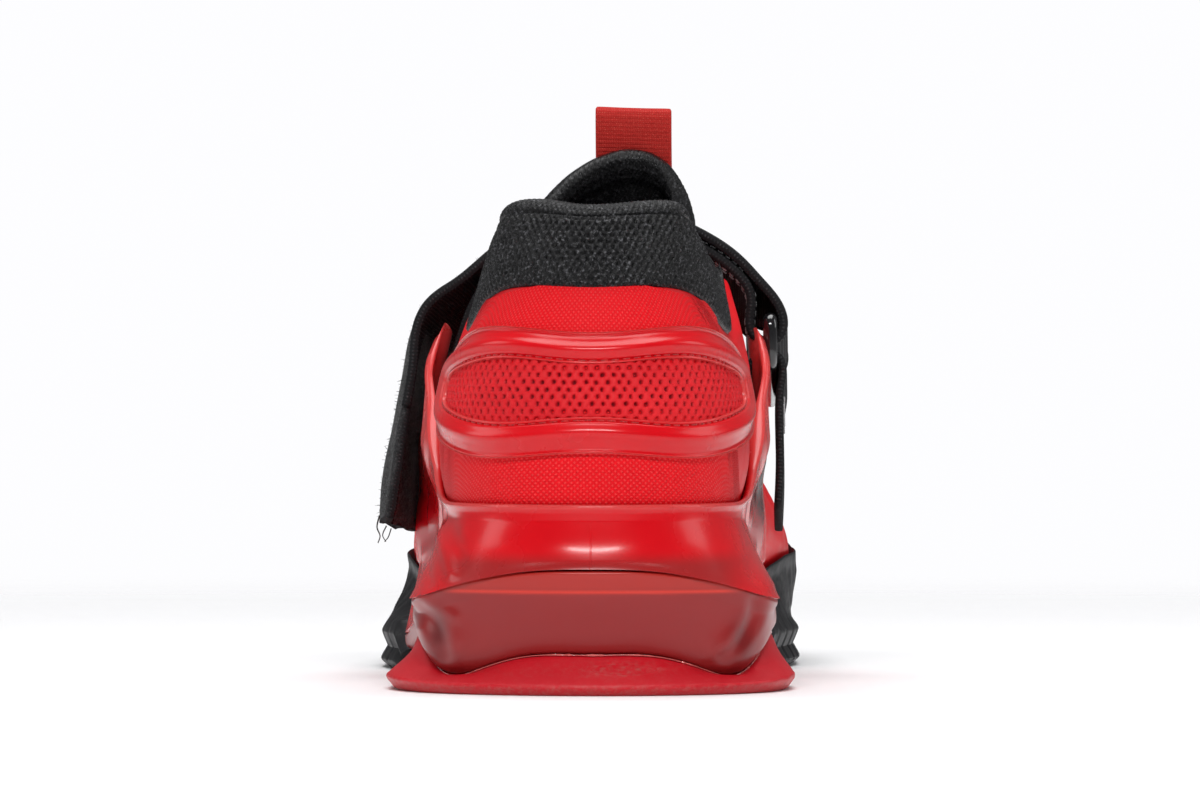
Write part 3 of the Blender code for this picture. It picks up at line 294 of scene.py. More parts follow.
def along_table(rows):
    """A height or margin that follows the shoe's length, as straight-line steps."""
    places, values = zip(*rows)
    return lambda along: np.interp(along, places, values)


def eased_table(rows, step=3.0):
    """The same, with its corners rounded off."""
    places, values = zip(*rows)
    spread = np.linspace(-step, step, 9)
    return lambda along: np.mean(
        [np.interp(np.asarray(along) + s, places, values) for s in spread], 0
    )


tread_height = along_table(TREAD_LINE)
rubber_top = eased_table(RUBBER_TOP, 1.5)
cage_top = eased_table(CAGE_TOP, 5.0)
shell_margin = along_table(SHELL_MARGIN)
soft_margin = eased_table(SHELL_MARGIN, 2.5)


class Ring:
    """A closed outline round the foot. Angle 0 is the heel and half a turn the toe;
    angles up to half a turn run along the medial side, the others along the lateral."""

    def __init__(self, rows, own_span=False):
        self.heel, self.toe = rows[0][0], rows[-1][0]
        self.own_span = own_span
        self.fine_angles = np.linspace(0, HALF_TURN, 721)
        self.fine_along = self.along(self.fine_angles)
        angles, across, heights = [], [], []
        for along, medial, _, height in rows:
            angles.append(self.angle_of(along))
            across.append(medial)
            heights.append(height)
        for along, _, lateral, height in rows[-2:0:-1]:
            angles.append(FULL_TURN - self.angle_of(along))
            across.append(lateral)
            heights.append(height)
        self.across = Spline(angles, across, FULL_TURN)
        self.height = Spline(angles, heights, FULL_TURN)

    def angle_of(self, along):
        return np.interp(along, self.fine_along, self.fine_angles)

    def along(self, angles):
        share = (1 - np.cos(angles)) / 2
        if self.own_span:
            return self.heel + (self.toe - self.heel) * share
        return self.toe * share + self.heel * (1 - share) ** HEEL_FADE

    def points(self, angles):
        angles = np.asarray(angles, float)
        return np.stack([self.across(angles), self.along(angles), self.height(angles)], -1)


def hermite(t, start, end, leaving, arriving):
    """A curve from start to end, with the steps it leaves and arrives by."""
    return (
        (2 * t**3 - 3 * t**2 + 1) * start
        + (t**3 - 2 * t**2 + t) * leaving
        + (3 * t**2 - 2 * t**3) * end
        + (t**3 - t**2) * arriving
    )


class Last:
    """The outside of the upper as a surface: angle round the foot, share up the wall."""

    ANGLES, STEPS, TALLEST = 720, 200, 125.0

    def __init__(self, rings):
        self.angles = np.linspace(0, FULL_TURN, self.ANGLES, endpoint=False)
        self.top = rings[-1]
        loops = np.stack([ring.points(self.angles) for ring in rings])
        past_throat = self.top.along(self.angles) > 119
        centre = Spline(*zip(*[(row[0], row[1]) for row in TOP_RING if row[0] > 119]))
        loops[-1, past_throat, 0] = centre(self.top.along(self.angles))[past_throat]
        walls = [self._wall(loops[:, i]) for i in range(self.ANGLES)]
        self.points = np.stack([wall for wall, _ in walls])
        self.lengths = np.array([length for _, length in walls])
        round_step = np.roll(self.points, -1, 0) - np.roll(self.points, 1, 0)
        up_step = np.gradient(self.points, axis=1)
        normals = np.cross(round_step, up_step)
        sizes = np.linalg.norm(normals, axis=2, keepdims=True)
        upwards = np.broadcast_to((0.0, 0.0, 1.0), normals.shape)
        self.normals = np.where(sizes > 1e-6, normals / np.maximum(sizes, 1e-6), upwards)
        heights = np.linspace(0, self.TALLEST, 501)
        shares = np.linspace(0, 1, self.STEPS + 1)
        table = []
        for column in self.points:
            crest = int(np.argmax(column[:, 2])) + 1
            table.append(np.interp(heights, column[:crest, 2], shares[:crest]))
        self.share_table = np.array(table)

    def _wall(self, knots):
        chord = np.linalg.norm(np.diff(knots, axis=0), axis=1)
        at = running(chord)
        slopes = np.empty_like(knots)
        slopes[1:-1] = (knots[2:] - knots[:-2]) / (at[2:] - at[:-2])[:, None]
        slopes[0] = (knots[1] - knots[0]) / chord[0]
        last_leg = (knots[-1] - knots[-2]) / chord[-1]
        level = last_leg * (1, 1, 0)
        closing = np.clip((knots[-1][1] - 100) / 20, 0, 1)
        slopes[-1] = last_leg * (1 - closing) + level * closing
        fine = []
        for i in range(len(chord)):
            t = np.linspace(0, 1, 24, endpoint=False)[:, None]
            steps = chord[i] * slopes[i], chord[i] * slopes[i + 1]
            fine.append(hermite(t, knots[i], knots[i + 1], *steps))
        fine = np.concatenate(fine + [knots[-1:]])
        run = running(np.linalg.norm(np.diff(fine, axis=0), axis=1))
        even = np.linspace(0, run[-1], self.STEPS + 1)
        wall = np.stack([np.interp(even, run, fine[:, k]) for k in range(3)], -1)
        return wall, run[-1]

    @staticmethod
    def _mix(field, a, s):
        """Values of a table between its rows, which close round, and its columns."""
        count, last = field.shape[0], field.shape[1] - 2
        i, j = np.floor(a).astype(int), np.clip(np.floor(s).astype(int), 0, last)
        u, v = a - i, s - j
        if field.ndim == 3:
            u, v = u[..., None], v[..., None]
        i, k = i % count, (i + 1) % count
        low = field[i, j] * (1 - u) + field[k, j] * u
        high = field[i, j + 1] * (1 - u) + field[k, j + 1] * u
        return low * (1 - v) + high * v

    def point(self, angle, share, out=0.0):
        angle, share = np.broadcast_arrays(np.asarray(angle, float), share)
        a = (angle % FULL_TURN) / FULL_TURN * self.ANGLES
        s = np.clip(share, 0, 1) * self.STEPS
        normal = self._mix(self.normals, a, s)
        normal = normal / np.linalg.norm(normal, axis=-1, keepdims=True)
        return self._mix(self.points, a, s) + np.asarray(out)[..., None] * normal

    def length(self, angle):
        angle = np.asarray(angle, float) % FULL_TURN
        return np.interp(angle, self.angles, self.lengths, period=FULL_TURN)

    def below_top(self, angle, distance, out=0.0):
        return self.point(angle, 1 - distance / self.length(angle), out)

    def share_at_height(self, angle, height):
        angle, height = np.broadcast_arrays(np.asarray(angle, float), height)
        a = (angle % FULL_TURN) / FULL_TURN * self.ANGLES
        return self._mix(self.share_table, a, np.clip(height, 0, self.TALLEST) * 4)

    def at_height(self, angle, height, out=0.0):
        return self.point(angle, self.share_at_height(angle, height), out)

    def angle_at(self, along, side):
        return side * self.top.angle_of(along)


LAST_ROWS = (FEATHER_RING, BULGE_RING, SIDE_RING, SHOULDER_RING, TOP_RING)
LAST = Last([Ring(rows, own_span=True) for rows in LAST_ROWS])
FEATHER = Ring(FEATHER_RING, own_span=True)
RIM = Ring(WEDGE_RIM_RING)
SEAT = Ring(WEDGE_SEAT_RING)
SEAM = Ring(HEEL_SEAM_RING)
CORE = Ring(HEEL_CORE_RING)
LOW = Ring(WEDGE_LOW_RING)
FACE = Ring(WEDGE_FACE_RING)
TREAD = Ring(HEEL_TREAD_RING)
LIP = Ring(HEEL_LIP_RING)
FLARE = Ring(HEEL_FLARE_RING)
FOREFOOT_EDGE = Ring(FOREFOOT_EDGE_RING)


def ease(value, low, high):
    """0 below low and 1 above high, with a smooth rise between. High may be the lower."""
    share = np.clip((np.asarray(value, float) - low) / (high - low), 0, 1)
    return share * share * (3 - 2 * share)


def unit(vectors):
    return vectors / np.maximum(np.linalg.norm(vectors, axis=-1, keepdims=True), 1e-9)


def outwards(angle, height):
    """The last's outward direction at a height, laid level."""
    normal = LAST.at_height(angle, height, 1.0) - LAST.at_height(angle, height)
    return unit(normal * (1, 1, 0))


def beside_last(angle, height, out):
    """A point outside the last at a height; under the feather edge it stays below it."""
    angle, height, out = np.broadcast_arrays(np.asarray(angle, float), height, out)
    feather = LAST.point(angle, 0.0)
    above = LAST.at_height(angle, height, out)
    below = feather + out[..., None] * outwards(angle, feather[..., 2] + 1)
    below[..., 2] = height
    return np.where((height >= feather[..., 2])[..., None], above, below)


def through(knots, counts, sharp=()):
    """Points on smooth curves through knots, which run along the first axis. The curve
    turns a corner at the knots named sharp."""
    knots = np.asarray(knots, float)
    chord = np.linalg.norm(np.diff(knots, axis=0), axis=-1, keepdims=True)
    legs = np.diff(knots, axis=0) / np.maximum(chord, 1e-6)
    starts, ends = legs.copy(), legs.copy()
    middle = (knots[2:] - knots[:-2]) / np.maximum(chord[1:] + chord[:-1], 1e-6)
    starts[1:], ends[:-1] = middle, middle
    for k in sharp:
        starts[k], ends[k - 1] = legs[k], legs[k - 1]
    curve = []
    for i, count in enumerate(counts):
        t = np.linspace(0, 1, count, endpoint=False).reshape((-1,) + (1,) * (knots.ndim - 1))
        steps = chord[i] * starts[i], chord[i] * ends[i]
        curve.append(hermite(t, knots[i], knots[i + 1], *steps))
    return np.concatenate(curve + [knots[-1:]])


def fillet(before, corner, after, radius):
    """The two points on each side of a corner where it starts to be rounded."""
    back, ahead = before - corner, after - corner
    reach = np.minimum(radius, 0.4 * np.linalg.norm(back, axis=-1, keepdims=True))
    return corner + unit(back) * reach, corner + unit(ahead) * radius


def normals_of(grid, wrap_rows=False, wrap_columns=False):
    """Unit normals of a grid of points, from the steps along its rows and columns."""
    rows = np.pad(grid, ((1, 1), (0, 0), (0, 0)), "wrap" if wrap_rows else "edge")
    columns = np.pad(grid, ((0, 0), (1, 1), (0, 0)), "wrap" if wrap_columns else "edge")
    return unit(np.cross(rows[2:] - rows[:-2], columns[:, 2:] - columns[:, :-2]))


def run_along(grid, axis):
    """Distances over a grid from its first row (axis 0) or first column (axis 1)."""
    first = np.take(grid, [0], axis)
    return np.cumsum(np.linalg.norm(np.diff(grid, axis=axis, prepend=first), axis=2), axis)


def rounded_edge(distance, radius):
    """0 at an edge and 1 a radius away from it, along a quarter of a circle."""
    return np.sqrt(np.clip(1 - (1 - np.clip(distance / radius, 0, 1)) ** 2, 0, 1))


def distance_to_line(u, v, line):
    """How far points of a plane lie from a bent line through it."""
    nearest = np.full(np.shape(u), 1e9)
    for (u0, v0), (u1, v1) in zip(line, line[1:]):
        du, dv = u1 - u0, v1 - v0
        share = np.clip(((u - u0) * du + (v - v0) * dv) / (du * du + dv * dv), 0, 1)
        nearest = np.minimum(nearest, np.hypot(u - u0 - share * du, v - v0 - share * dv))
    return nearest


def soft_line(u, v, line, width):
    """1 on a line drawn in a plane, fading to 0 about width away from it."""
    places, values = zip(*line)
    run, knots = np.linspace(0, len(line) - 1, 6 * len(line)), range(len(line))
    smooth = list(zip(Spline(knots, places)(run), Spline(knots, values)(run)))
    return bell(distance_to_line(u, v, smooth), width)


def bell(distance, width):
    """1 at no distance, fading to 0 on both sides."""
    return np.exp(-((distance / width) ** 2))


def blob(u, v, centre, size):
    """1 at the centre of a soft round or oval spot, fading to 0."""
    return np.exp(-(((u - centre[0]) / size[0]) ** 2) - ((v - centre[1]) / size[1]) ** 2)


# ---------------------------------------------------------------- meshes

def unrolled(grid, wrap_rows, wrap_columns):
    """Distances along a grid's rows and columns, in millimetres, for its weave."""
    down = np.concatenate([grid, grid[:1]]) if wrap_rows else grid
    full = np.concatenate([down, down[:, :1]], 1) if wrap_columns else down
    u = running(np.linalg.norm(np.diff(full, axis=0), axis=2).mean(1))
    v = np.linalg.norm(np.diff(full, axis=1), axis=2)
    v = np.concatenate([np.zeros((len(full), 1)), np.cumsum(v, 1)], 1)
    return np.stack([np.broadcast_to(u[:, None], v.shape), v], -1)


def quads(size, uv, wrap_rows, wrap_columns, caps, start=0):
    """Faces between a grid's points, numbered from start, and their weave layout."""
    rows, columns = size
    i = np.arange(rows if wrap_rows else rows - 1)[:, None]
    j = np.arange(columns if wrap_columns else columns - 1)[None, :]
    i, j = np.broadcast_arrays(i, j)
    corners = [(i, j), (i + 1, j), (i + 1, j + 1), (i, j + 1)]
    faces = np.stack([start + (a % rows) * columns + b % columns for a, b in corners], -1)
    faces = faces.reshape(-1, 4).tolist()
    layout = np.stack([uv[a, b] for a, b in corners], -2).reshape(-1, 2)
    if caps:
        first, last = start, start + (rows - 1) * columns
        faces.append(list(range(first, first + columns)))
        faces.append(list(range(last, last + columns))[::-1])
        layout = np.concatenate([layout, np.zeros((2 * columns, 2))])
    return faces, layout


def woven_mesh(name, points, faces, layout):
    """A mesh in the frame, from points in millimetres."""
    mesh = bpy.data.meshes.new(name)
    mesh.from_pydata(((points + SHIFT) * MM).tolist(), [], faces)
    layer = mesh.uv_layers.new(name="weave")
    layer.data.foreach_set("uv", layout.astype(np.float32).ravel())
    return mesh


def clean(mesh, weld=0.0):
    """Joins points closer than weld and turns the faces outwards."""
    work = bmesh.new()
    work.from_mesh(mesh)
    if weld:
        bmesh.ops.remove_doubles(work, verts=work.verts, dist=weld * MM)
        bmesh.ops.dissolve_degenerate(work, edges=work.edges, dist=0.002 * MM)
    bmesh.ops.recalc_face_normals(work, faces=work.faces)
    work.to_mesh(mesh)
    work.free()


def shape(name, grid, finish, slot=None, replaces=(), wrap_rows=False, wrap_columns=False,
          caps=False, uv=None, weld=0.0, marks=None, sharp=None):
    """A piece of the shoe from a grid of points: its mesh, weave layout and finish."""
    size = grid.shape[:2]
    uv = unrolled(grid, wrap_rows, wrap_columns) if uv is None else uv
    faces, layout = quads(size, uv, wrap_rows, wrap_columns, caps)
    mesh = woven_mesh(name, grid.reshape(-1, 3), faces, layout)
    for mark, values in (marks or {}).items():
        attribute = mesh.attributes.new(mark, "FLOAT", "POINT")
        values = np.broadcast_to(values, size).astype(np.float32)
        attribute.data.foreach_set("value", values.ravel())
    if weld:
        clean(mesh, weld)
    return place(name, mesh, finish, replaces, sharp)


def link(name, data):
    made = bpy.data.objects.new(name, data)
    bpy.context.scene.collection.objects.link(made)
    return made


def solid(name, grid, finish, slot, replaces, **more):
    """A piece whose grid closes round its columns, with both ends capped."""
    return shape(name, grid, finish, slot, replaces, wrap_columns=True, caps=True, **more)


def place(name, mesh, finish, replaces=(), sharp=None):
    """Links a mesh as a piece that rides on the shoe."""
    for one in finish if isinstance(finish, (list, tuple)) else [finish]:
        mesh.materials.append(one)
    mesh.shade_smooth()
    if sharp:
        mesh.set_sharp_from_angle(angle=math.radians(sharp))
    made = link(name, mesh)
    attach(made, "root")
    if replaces:
        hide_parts(*([replaces] if isinstance(replaces, str) else replaces))
    return made


def settle(made):
    """Applies a piece's modifiers to its mesh."""
    bpy.context.view_layer.update()
    view = bpy.context.evaluated_depsgraph_get()
    mesh = bpy.data.meshes.new_from_object(made.evaluated_get(view))
    made.modifiers.clear()
    made.data = mesh
    return made


def many(name, grids, finish, caps=False):
    """One piece made of several separate grids, each closed round its columns."""
    faces, layouts, start = [], [], 0
    for grid in grids:
        size = grid.shape[:2]
        found, layout = quads(size, unrolled(grid, False, True), False, True, caps, start)
        faces += found
        layouts.append(layout)
        start += size[0] * size[1]
    points = np.concatenate([grid.reshape(-1, 3) for grid in grids])
    mesh = woven_mesh(name, points, faces, np.concatenate(layouts))
    clean(mesh)
    return place(name, mesh, finish)


def tube(path, radius, sides=8, squash=1.0, up=(0, 0, 1)):
    """Rings of points round a path, for a thread or a bead."""
    path = np.asarray(path, float)
    steps = unit(np.gradient(path, axis=0))
    side = unit(np.cross(steps, np.broadcast_to(np.asarray(up, float), steps.shape)))
    rise = np.cross(side, steps)
    turn = np.linspace(0, FULL_TURN, sides, endpoint=False)
    radius = np.broadcast_to(np.asarray(radius, float), len(path))[:, None, None]
    ring = side[:, None] * np.cos(turn)[:, None] + rise[:, None] * (
        squash * np.sin(turn)[:, None]
    )
    return path[:, None] + radius * ring


# ---------------------------------------------------------------- materials


class Finish:
    """One material. Its methods add nodes and give back their sockets."""

    def __init__(self, name, colour, roughness, **sockets):
        self.material = bpy.data.materials.new(name)
        self.material.use_nodes = True
        self.tree = self.material.node_tree
        self.shader = self.tree.nodes["Principled BSDF"]
        self.set("Base Color", colour)
        self.set("Roughness", roughness)
        for socket, value in sockets.items():
            self.set(socket.replace("_", " "), value)

    def set(self, socket, value):
        self._feed(self.shader.inputs[socket], value)

    def _feed(self, socket, value):
        if isinstance(value, bpy.types.NodeSocket):
            self.tree.links.new(value, socket)
        elif socket.type == "RGBA":
            socket.default_value = (*value[:3], 1.0)
        else:
            socket.default_value = value

    def node(self, kind, inputs, output=0, **settings):
        made = self.tree.nodes.new("ShaderNode" + kind)
        for name, value in settings.items():
            setattr(made, name, value)
        for socket, value in inputs.items():
            self._feed(made.inputs[socket], value)
        return made.outputs[output]

    def math(self, operation, a, b=0.0, clamp=False):
        return self.node("Math", {0: a, 1: b}, operation=operation, use_clamp=clamp)

    def mix(self, share, a, b):
        inputs = {0: share, 6: a, 7: b}
        return self.node("Mix", inputs, 2, data_type="RGBA")

    def mark(self, name):
        """A number that the mesh carries at each of its points."""
        return self.node("Attribute", {}, "Fac", attribute_name=name)

    def here(self):
        """The place on the shoe, in metres."""
        return self.node("TexCoord", {}, "Object")

    def noise(self, scale, detail=3.0, roughness=0.55):
        inputs = {
            "Vector": self.here(),
            "Scale": scale,
            "Detail": detail,
            "Roughness": roughness,
        }
        return self.node("TexNoise", inputs, "Fac")

    def window(self, value, low, high, start=0.0, end=1.0):
        inputs = {"Value": value, 1: low, 2: high, 3: start, 4: end}
        return self.node("MapRange", inputs, interpolation_type="SMOOTHSTEP")

    def weave(self, u_pitch, v_pitch, turn=0.0):
        """The weave layout as two waves' angles, one for each direction."""
        layout = self.node("UVMap", {}, uv_map="weave")
        turned = self.node("Mapping", {"Vector": layout, "Rotation": (0, 0, turn)})
        split = self.tree.nodes.new("ShaderNodeSeparateXYZ")
        self.tree.links.new(turned, split.inputs[0])
        u = self.math("MULTIPLY", split.outputs[0], FULL_TURN / u_pitch)
        v = self.math("MULTIPLY", split.outputs[1], FULL_TURN / v_pitch)
        return u, v

    def wave(self, angle):
        """A smooth wave between 0 and 1."""
        return self.window(self.math("SINE", angle), -1.0, 1.0)

    def cells(self, pitch, turn):
        """Spots in a lattice over the weave layout, which is turned by some degrees."""
        u, v = self.weave(pitch, pitch, math.radians(turn))
        return self.math("MULTIPLY", self.wave(u), self.wave(v))

    def relief(self, *layers):
        """Adds layers of (height, millimetres) to the shader's normal."""
        inputs = {}
        for height, distance in layers:
            inputs.update(Height=height, Distance=distance * MM, Strength=1.0)
            inputs["Normal"] = self.node("Bump", inputs)
        self.set("Normal", inputs["Normal"])


def vary(finish, colour, darker, scale, amount=0.5):
    """A colour that drifts a little over the surface."""
    share = finish.window(finish.noise(scale, 4.0), 0.15, 0.85, 0.0, amount)
    return finish.mix(share, colour, darker)


def satin_film():
    made = Finish("satin_film", (0.70, 0.012, 0.016), 0.42, Coat_Weight=0.05,
                  Coat_Roughness=0.35, Specular_IOR_Level=0.2)
    made.set("Base Color", vary(made, (0.70, 0.004, 0.010), (0.57, 0.002, 0.007), 18.0))
    grain = made.noise(1900.0, 2.0)
    made.set("Roughness", made.window(made.noise(140.0, 4.0), 0.3, 0.7, 0.36, 0.5))
    made.relief((grain, 0.05), (made.noise(160.0, 3.0), 0.12))
    return made.material


def ripstop():
    made = Finish("ripstop", (0.72, 0.02, 0.02), 0.45, Specular_IOR_Level=0.14)
    dots = made.cells(1.0, 45)
    thread = made.noise(2600.0, 2.0)
    base = vary(made, (0.74, 0.004, 0.010), (0.60, 0.002, 0.007), 25.0, 0.6)
    share = made.window(dots, 0.1, 0.8, 0.0, 0.5)
    made.set("Base Color", made.mix(share, base, (0.88, 0.06, 0.06)))
    made.set("Roughness", made.window(dots, 0.0, 0.8, 0.6, 0.36))
    made.relief((dots, 0.16), (thread, 0.03))
    return made.material


def heel_knit():
    made = Finish("heel_knit", (0.6, 0.02, 0.02), 0.5, Specular_IOR_Level=0.2)
    # painted shade: the pits of the knit are painted dark
    pit = made.mark("pit")
    base = vary(made, (0.70, 0.012, 0.018), (0.54, 0.004, 0.010), 60.0, 0.7)
    # painted highlight: the crests of the threads are painted lighter
    crest_lit = made.mix(made.window(made.mark("crest"), 0.3, 1.0, 0.0, 0.5), base,
                      (0.82, 0.07, 0.07))
    made.set("Base Color", made.mix(pit, crest_lit, (0.16, 0.002, 0.006)))
    made.relief((made.cells(0.42, 35), 0.07), (made.noise(2300.0, 2.0), 0.05))
    return made.material


def moulded():
    """Glossy soft plastic, paler and milky where it is thin, with painted highlights and
    reflections in a paler tone and painted shade in a darker, browner tone.
    """
    made = Finish("moulded_plastic", (0.5, 0.004, 0.010), 0.24, Coat_Weight=0.15,
                  Coat_Roughness=0.12, Specular_IOR_Level=0.32,
                  Subsurface_Weight=0.12, Subsurface_Radius=(0.004, 0.0008, 0.0006),
                  Subsurface_Scale=0.5)
    deep = vary(made, (0.62, 0.001, 0.006), (0.50, 0.001, 0.005), 22.0, 0.35)
    # painted shade: a darker, browner tone where the surface lies in shade
    painted_shade = made.mix(made.mark("painted_shade"), deep, (0.24, 0.014, 0.014))
    # painted highlights and reflections: a paler, pinker tone, partly also the paleness of thin
    # plastic
    made.set("Base Color", made.mix(made.mark("pale"), painted_shade, (0.62, 0.085, 0.08)))
    made.set("Roughness", made.window(made.noise(60.0, 4.0), 0.1, 0.9, 0.19, 0.32))
    made.relief((made.noise(50.0, 2.0, 0.4), 0.12), (made.noise(1500.0, 2.0), 0.010))
    return made.material


def heel_block():
    """The same plastic, solid and less see-through."""
    made = Finish("heel_block", (0.4, 0.02, 0.02), 0.33, Coat_Weight=0.15,
                  Coat_Roughness=0.2, Specular_IOR_Level=0.35)
    deep = vary(made, (0.27, 0.010, 0.010), (0.20, 0.010, 0.011), 30.0, 0.35)
    # painted highlight: a paler tone on the edge below the ridge
    lit = made.mix(made.mark("pale"), deep, (0.62, 0.030, 0.014))
    # painted shade: near black in the dimples and towards the bottom
    made.set("Base Color", made.mix(made.mark("painted_shade"), lit, (0.07, 0.006, 0.007)))
    made.set("Roughness", made.window(made.noise(50.0, 4.0), 0.1, 0.9, 0.28, 0.40))
    made.relief((made.noise(45.0, 2.0, 0.4), 0.12), (made.noise(1300.0, 2.0), 0.012))
    return made.material


def red_rubber():
    made = Finish("red_rubber", (0.5, 0.01, 0.015), 0.42, Specular_IOR_Level=0.35,
                  Coat_Weight=0.05, Coat_Roughness=0.3)
    base = vary(made, (0.52, 0.003, 0.012), (0.41, 0.004, 0.011), 35.0, 0.4)
    # a paler, grainy colour low on the heel's lip and in a patch at its back
    lightened = made.math("MULTIPLY", made.mark("lightened"),
                     made.window(made.noise(900.0, 5.0, 0.75), 0.4, 0.68), True)
    made.set("Base Color", made.mix(lightened, base, (0.42, 0.10, 0.09)))
    made.set("Roughness", made.window(made.mark("gloss"), 0.0, 1.0, 0.46, 0.2))
    made.relief((made.noise(120.0, 4.0), 0.15), (made.noise(1500.0, 2.0), 0.03))
    return made.material


def black_rubber():
    made = Finish("black_rubber", (0.02, 0.02, 0.023), 0.5, Specular_IOR_Level=0.22)
    # a paler, grainy colour along the bottom edge and a ridge of the tread's steps
    lightened = made.math("MULTIPLY", made.mark("lightened"),
                     made.window(made.noise(700.0, 5.0, 0.75), 0.42, 0.7), True)
    base = vary(made, (0.010, 0.010, 0.0115), (0.006, 0.006, 0.0075), 45.0)
    made.set("Base Color", made.mix(lightened, base, (0.07, 0.07, 0.07)))
    made.set("Roughness", made.window(made.noise(220.0, 4.0), 0.3, 0.75, 0.42, 0.6))
    made.relief((made.noise(150.0, 3.0), 0.15), (made.noise(1800.0, 2.0), 0.035))
    return made.material


def black_mesh(name="black_mesh", pitch=0.5, glint=0.11):
    """Glossy black thread; the holes between are in the mesh's own shape, with painted shade in
    them.
    """
    made = Finish(name, (0.006, 0.006, 0.007), 0.4, Specular_IOR_Level=0.26)
    lit = made.window(made.noise(1500.0, 3.0, 0.7), 0.54, 0.68, 0.0, 1.0)
    base = made.mix(lit, (0.003, 0.003, 0.0035), (glint, glint, glint * 1.08))
    # painted shade: the holes are painted darker
    made.set("Base Color", made.mix(made.mark("pit"), base, (0.002, 0.002, 0.002)))
    made.set("Roughness", made.window(made.noise(1200.0, 2.0), 0.3, 0.7, 0.22, 0.55))
    made.relief((made.cells(pitch, 30), 0.1), (made.noise(2600.0, 3.0, 0.7), 0.09))
    return made.material


def lining():
    made = Finish("lining", (0.012, 0.012, 0.013), 0.85, Specular_IOR_Level=0.2)
    knit = made.cells(1.1, 45)
    made.set("Base Color", made.mix(made.window(knit, 0.2, 0.9), (0.008, 0.008, 0.009),
                                    (0.024, 0.024, 0.026)))
    made.relief((knit, 0.15), (made.noise(1500.0), 0.05))
    return made.material


def webbing(name, colour, lighter, rib=1.0, across=1.5, depth=0.12):
    """Woven tape: ribs across it, crossed by its long threads."""
    made = Finish(name, colour, 0.7, Specular_IOR_Level=0.15)
    u, v = made.weave(rib, across)
    ribs = made.wave(u)
    threads = made.math("MULTIPLY", ribs, made.wave(v))
    fleck = made.window(made.noise(1600.0, 3.0, 0.7), 0.4, 0.75)
    share = made.math("MULTIPLY", made.window(threads, 0.1, 0.9), fleck)
    made.set("Base Color", made.mix(share, colour, lighter))
    made.set("Roughness", made.window(threads, 0.0, 1.0, 0.85, 0.55))
    made.relief((threads, depth), (made.noise(2200.0, 3.0, 0.7), 0.08))
    return made.material


def loop_pile():
    """The fuzzy side of the strap."""
    made = Finish("loop_pile", (0.012, 0.012, 0.013), 0.75, Sheen_Weight=0.12,
                  Sheen_Roughness=0.35, Specular_IOR_Level=0.35)
    tuft = made.noise(1150.0, 4.0, 0.8)
    made.set("Base Color", made.mix(made.window(tuft, 0.5, 0.72), (0.006, 0.006, 0.007),
                                    (0.05, 0.05, 0.053)))
    made.set("Roughness", made.window(tuft, 0.35, 0.7, 0.95, 0.5))
    made.relief((tuft, 0.5), (made.noise(3000.0, 3.0, 0.8), 0.15))
    return made.material


def gloss_plastic():
    made = Finish("gloss_plastic", (0.006, 0.006, 0.007), 0.14, Coat_Weight=0.4,
                  Coat_Roughness=0.06, Specular_IOR_Level=0.6)
    made.set("Roughness", made.window(made.noise(90.0, 4.0), 0.35, 0.7, 0.1, 0.24))
    made.relief((made.noise(60.0, 3.0), 0.1))
    return made.material


def thread(name, colour):
    made = Finish(name, colour, 0.55, Sheen_Weight=0.2, Sheen_Roughness=0.4)
    twist = made.noise(1500.0, 2.0)
    darker = tuple(0.5 * c for c in colour)
    made.set("Base Color", made.mix(made.window(twist, 0.35, 0.65), darker, colour))
    made.relief((twist, 0.05))
    return made.material


def clear_glue():
    made = Finish("clear_glue", (0.55, 0.10, 0.09), 0.12, Coat_Weight=0.6,
                  Coat_Roughness=0.05, Specular_IOR_Level=0.7)
    made.relief((made.noise(900.0, 2.0), 0.1))
    return made.material


def foam():
    made = Finish("sole_foam", (0.52, 0.012, 0.014), 0.6)
    cells = made.noise(900.0, 3.0)
    made.set("Base Color", made.mix(made.window(cells, 0.35, 0.7), (0.46, 0.008, 0.012),
                                    (0.56, 0.016, 0.018)))
    made.relief((cells, 0.08))
    return made.material


SATIN = satin_film()
RIPSTOP = ripstop()
KNIT = heel_knit()
MOULDED = moulded()
BLOCK = heel_block()
RED_RUBBER = red_rubber()
BLACK_RUBBER = black_rubber()
MESH = black_mesh()
FINE_MESH = black_mesh("fine_mesh", 0.8, 0.05)
LINING = lining()
BLACK_TAPE = webbing("black_tape", (0.010, 0.010, 0.011), (0.055, 0.055, 0.058), 0.9, 1.3)
LACE_TAPE = webbing("lace_tape", (0.012, 0.012, 0.013), (0.06, 0.06, 0.062), 0.7, 0.9)
RED_TAPE = webbing("red_tape", (0.42, 0.020, 0.016), (0.62, 0.085, 0.060), 0.5, 0.6, 0.05)
PILE = loop_pile()
PLASTIC = gloss_plastic()
PALE_THREAD = thread("pale_thread", (0.42, 0.42, 0.43))
BLACK_THREAD = thread("black_thread", (0.02, 0.02, 0.021))
RED_THREAD = thread("red_thread", (0.66, 0.03, 0.03))
GLUE = clear_glue()
FOAM = foam()


# ---------------------------------------------------------------- the upper


def heel_angle(x, height):
    """The angle at which the back of the last is this far across, at a height."""
    x, height = np.broadcast_arrays(np.asarray(x, float), np.asarray(height, float))
    found = np.empty(x.shape)
    fine = np.linspace(-1.35, 1.35, 271)
    for index in np.ndindex(x.shape):
        across = LAST.at_height(fine, height[index])[:, 0]
        found[index] = np.interp(x[index], across, fine)
    return found


THROAT_END = (180, 196)
BULGE_MEDIAL, BULGE_LATERAL = 3.8, 2.4


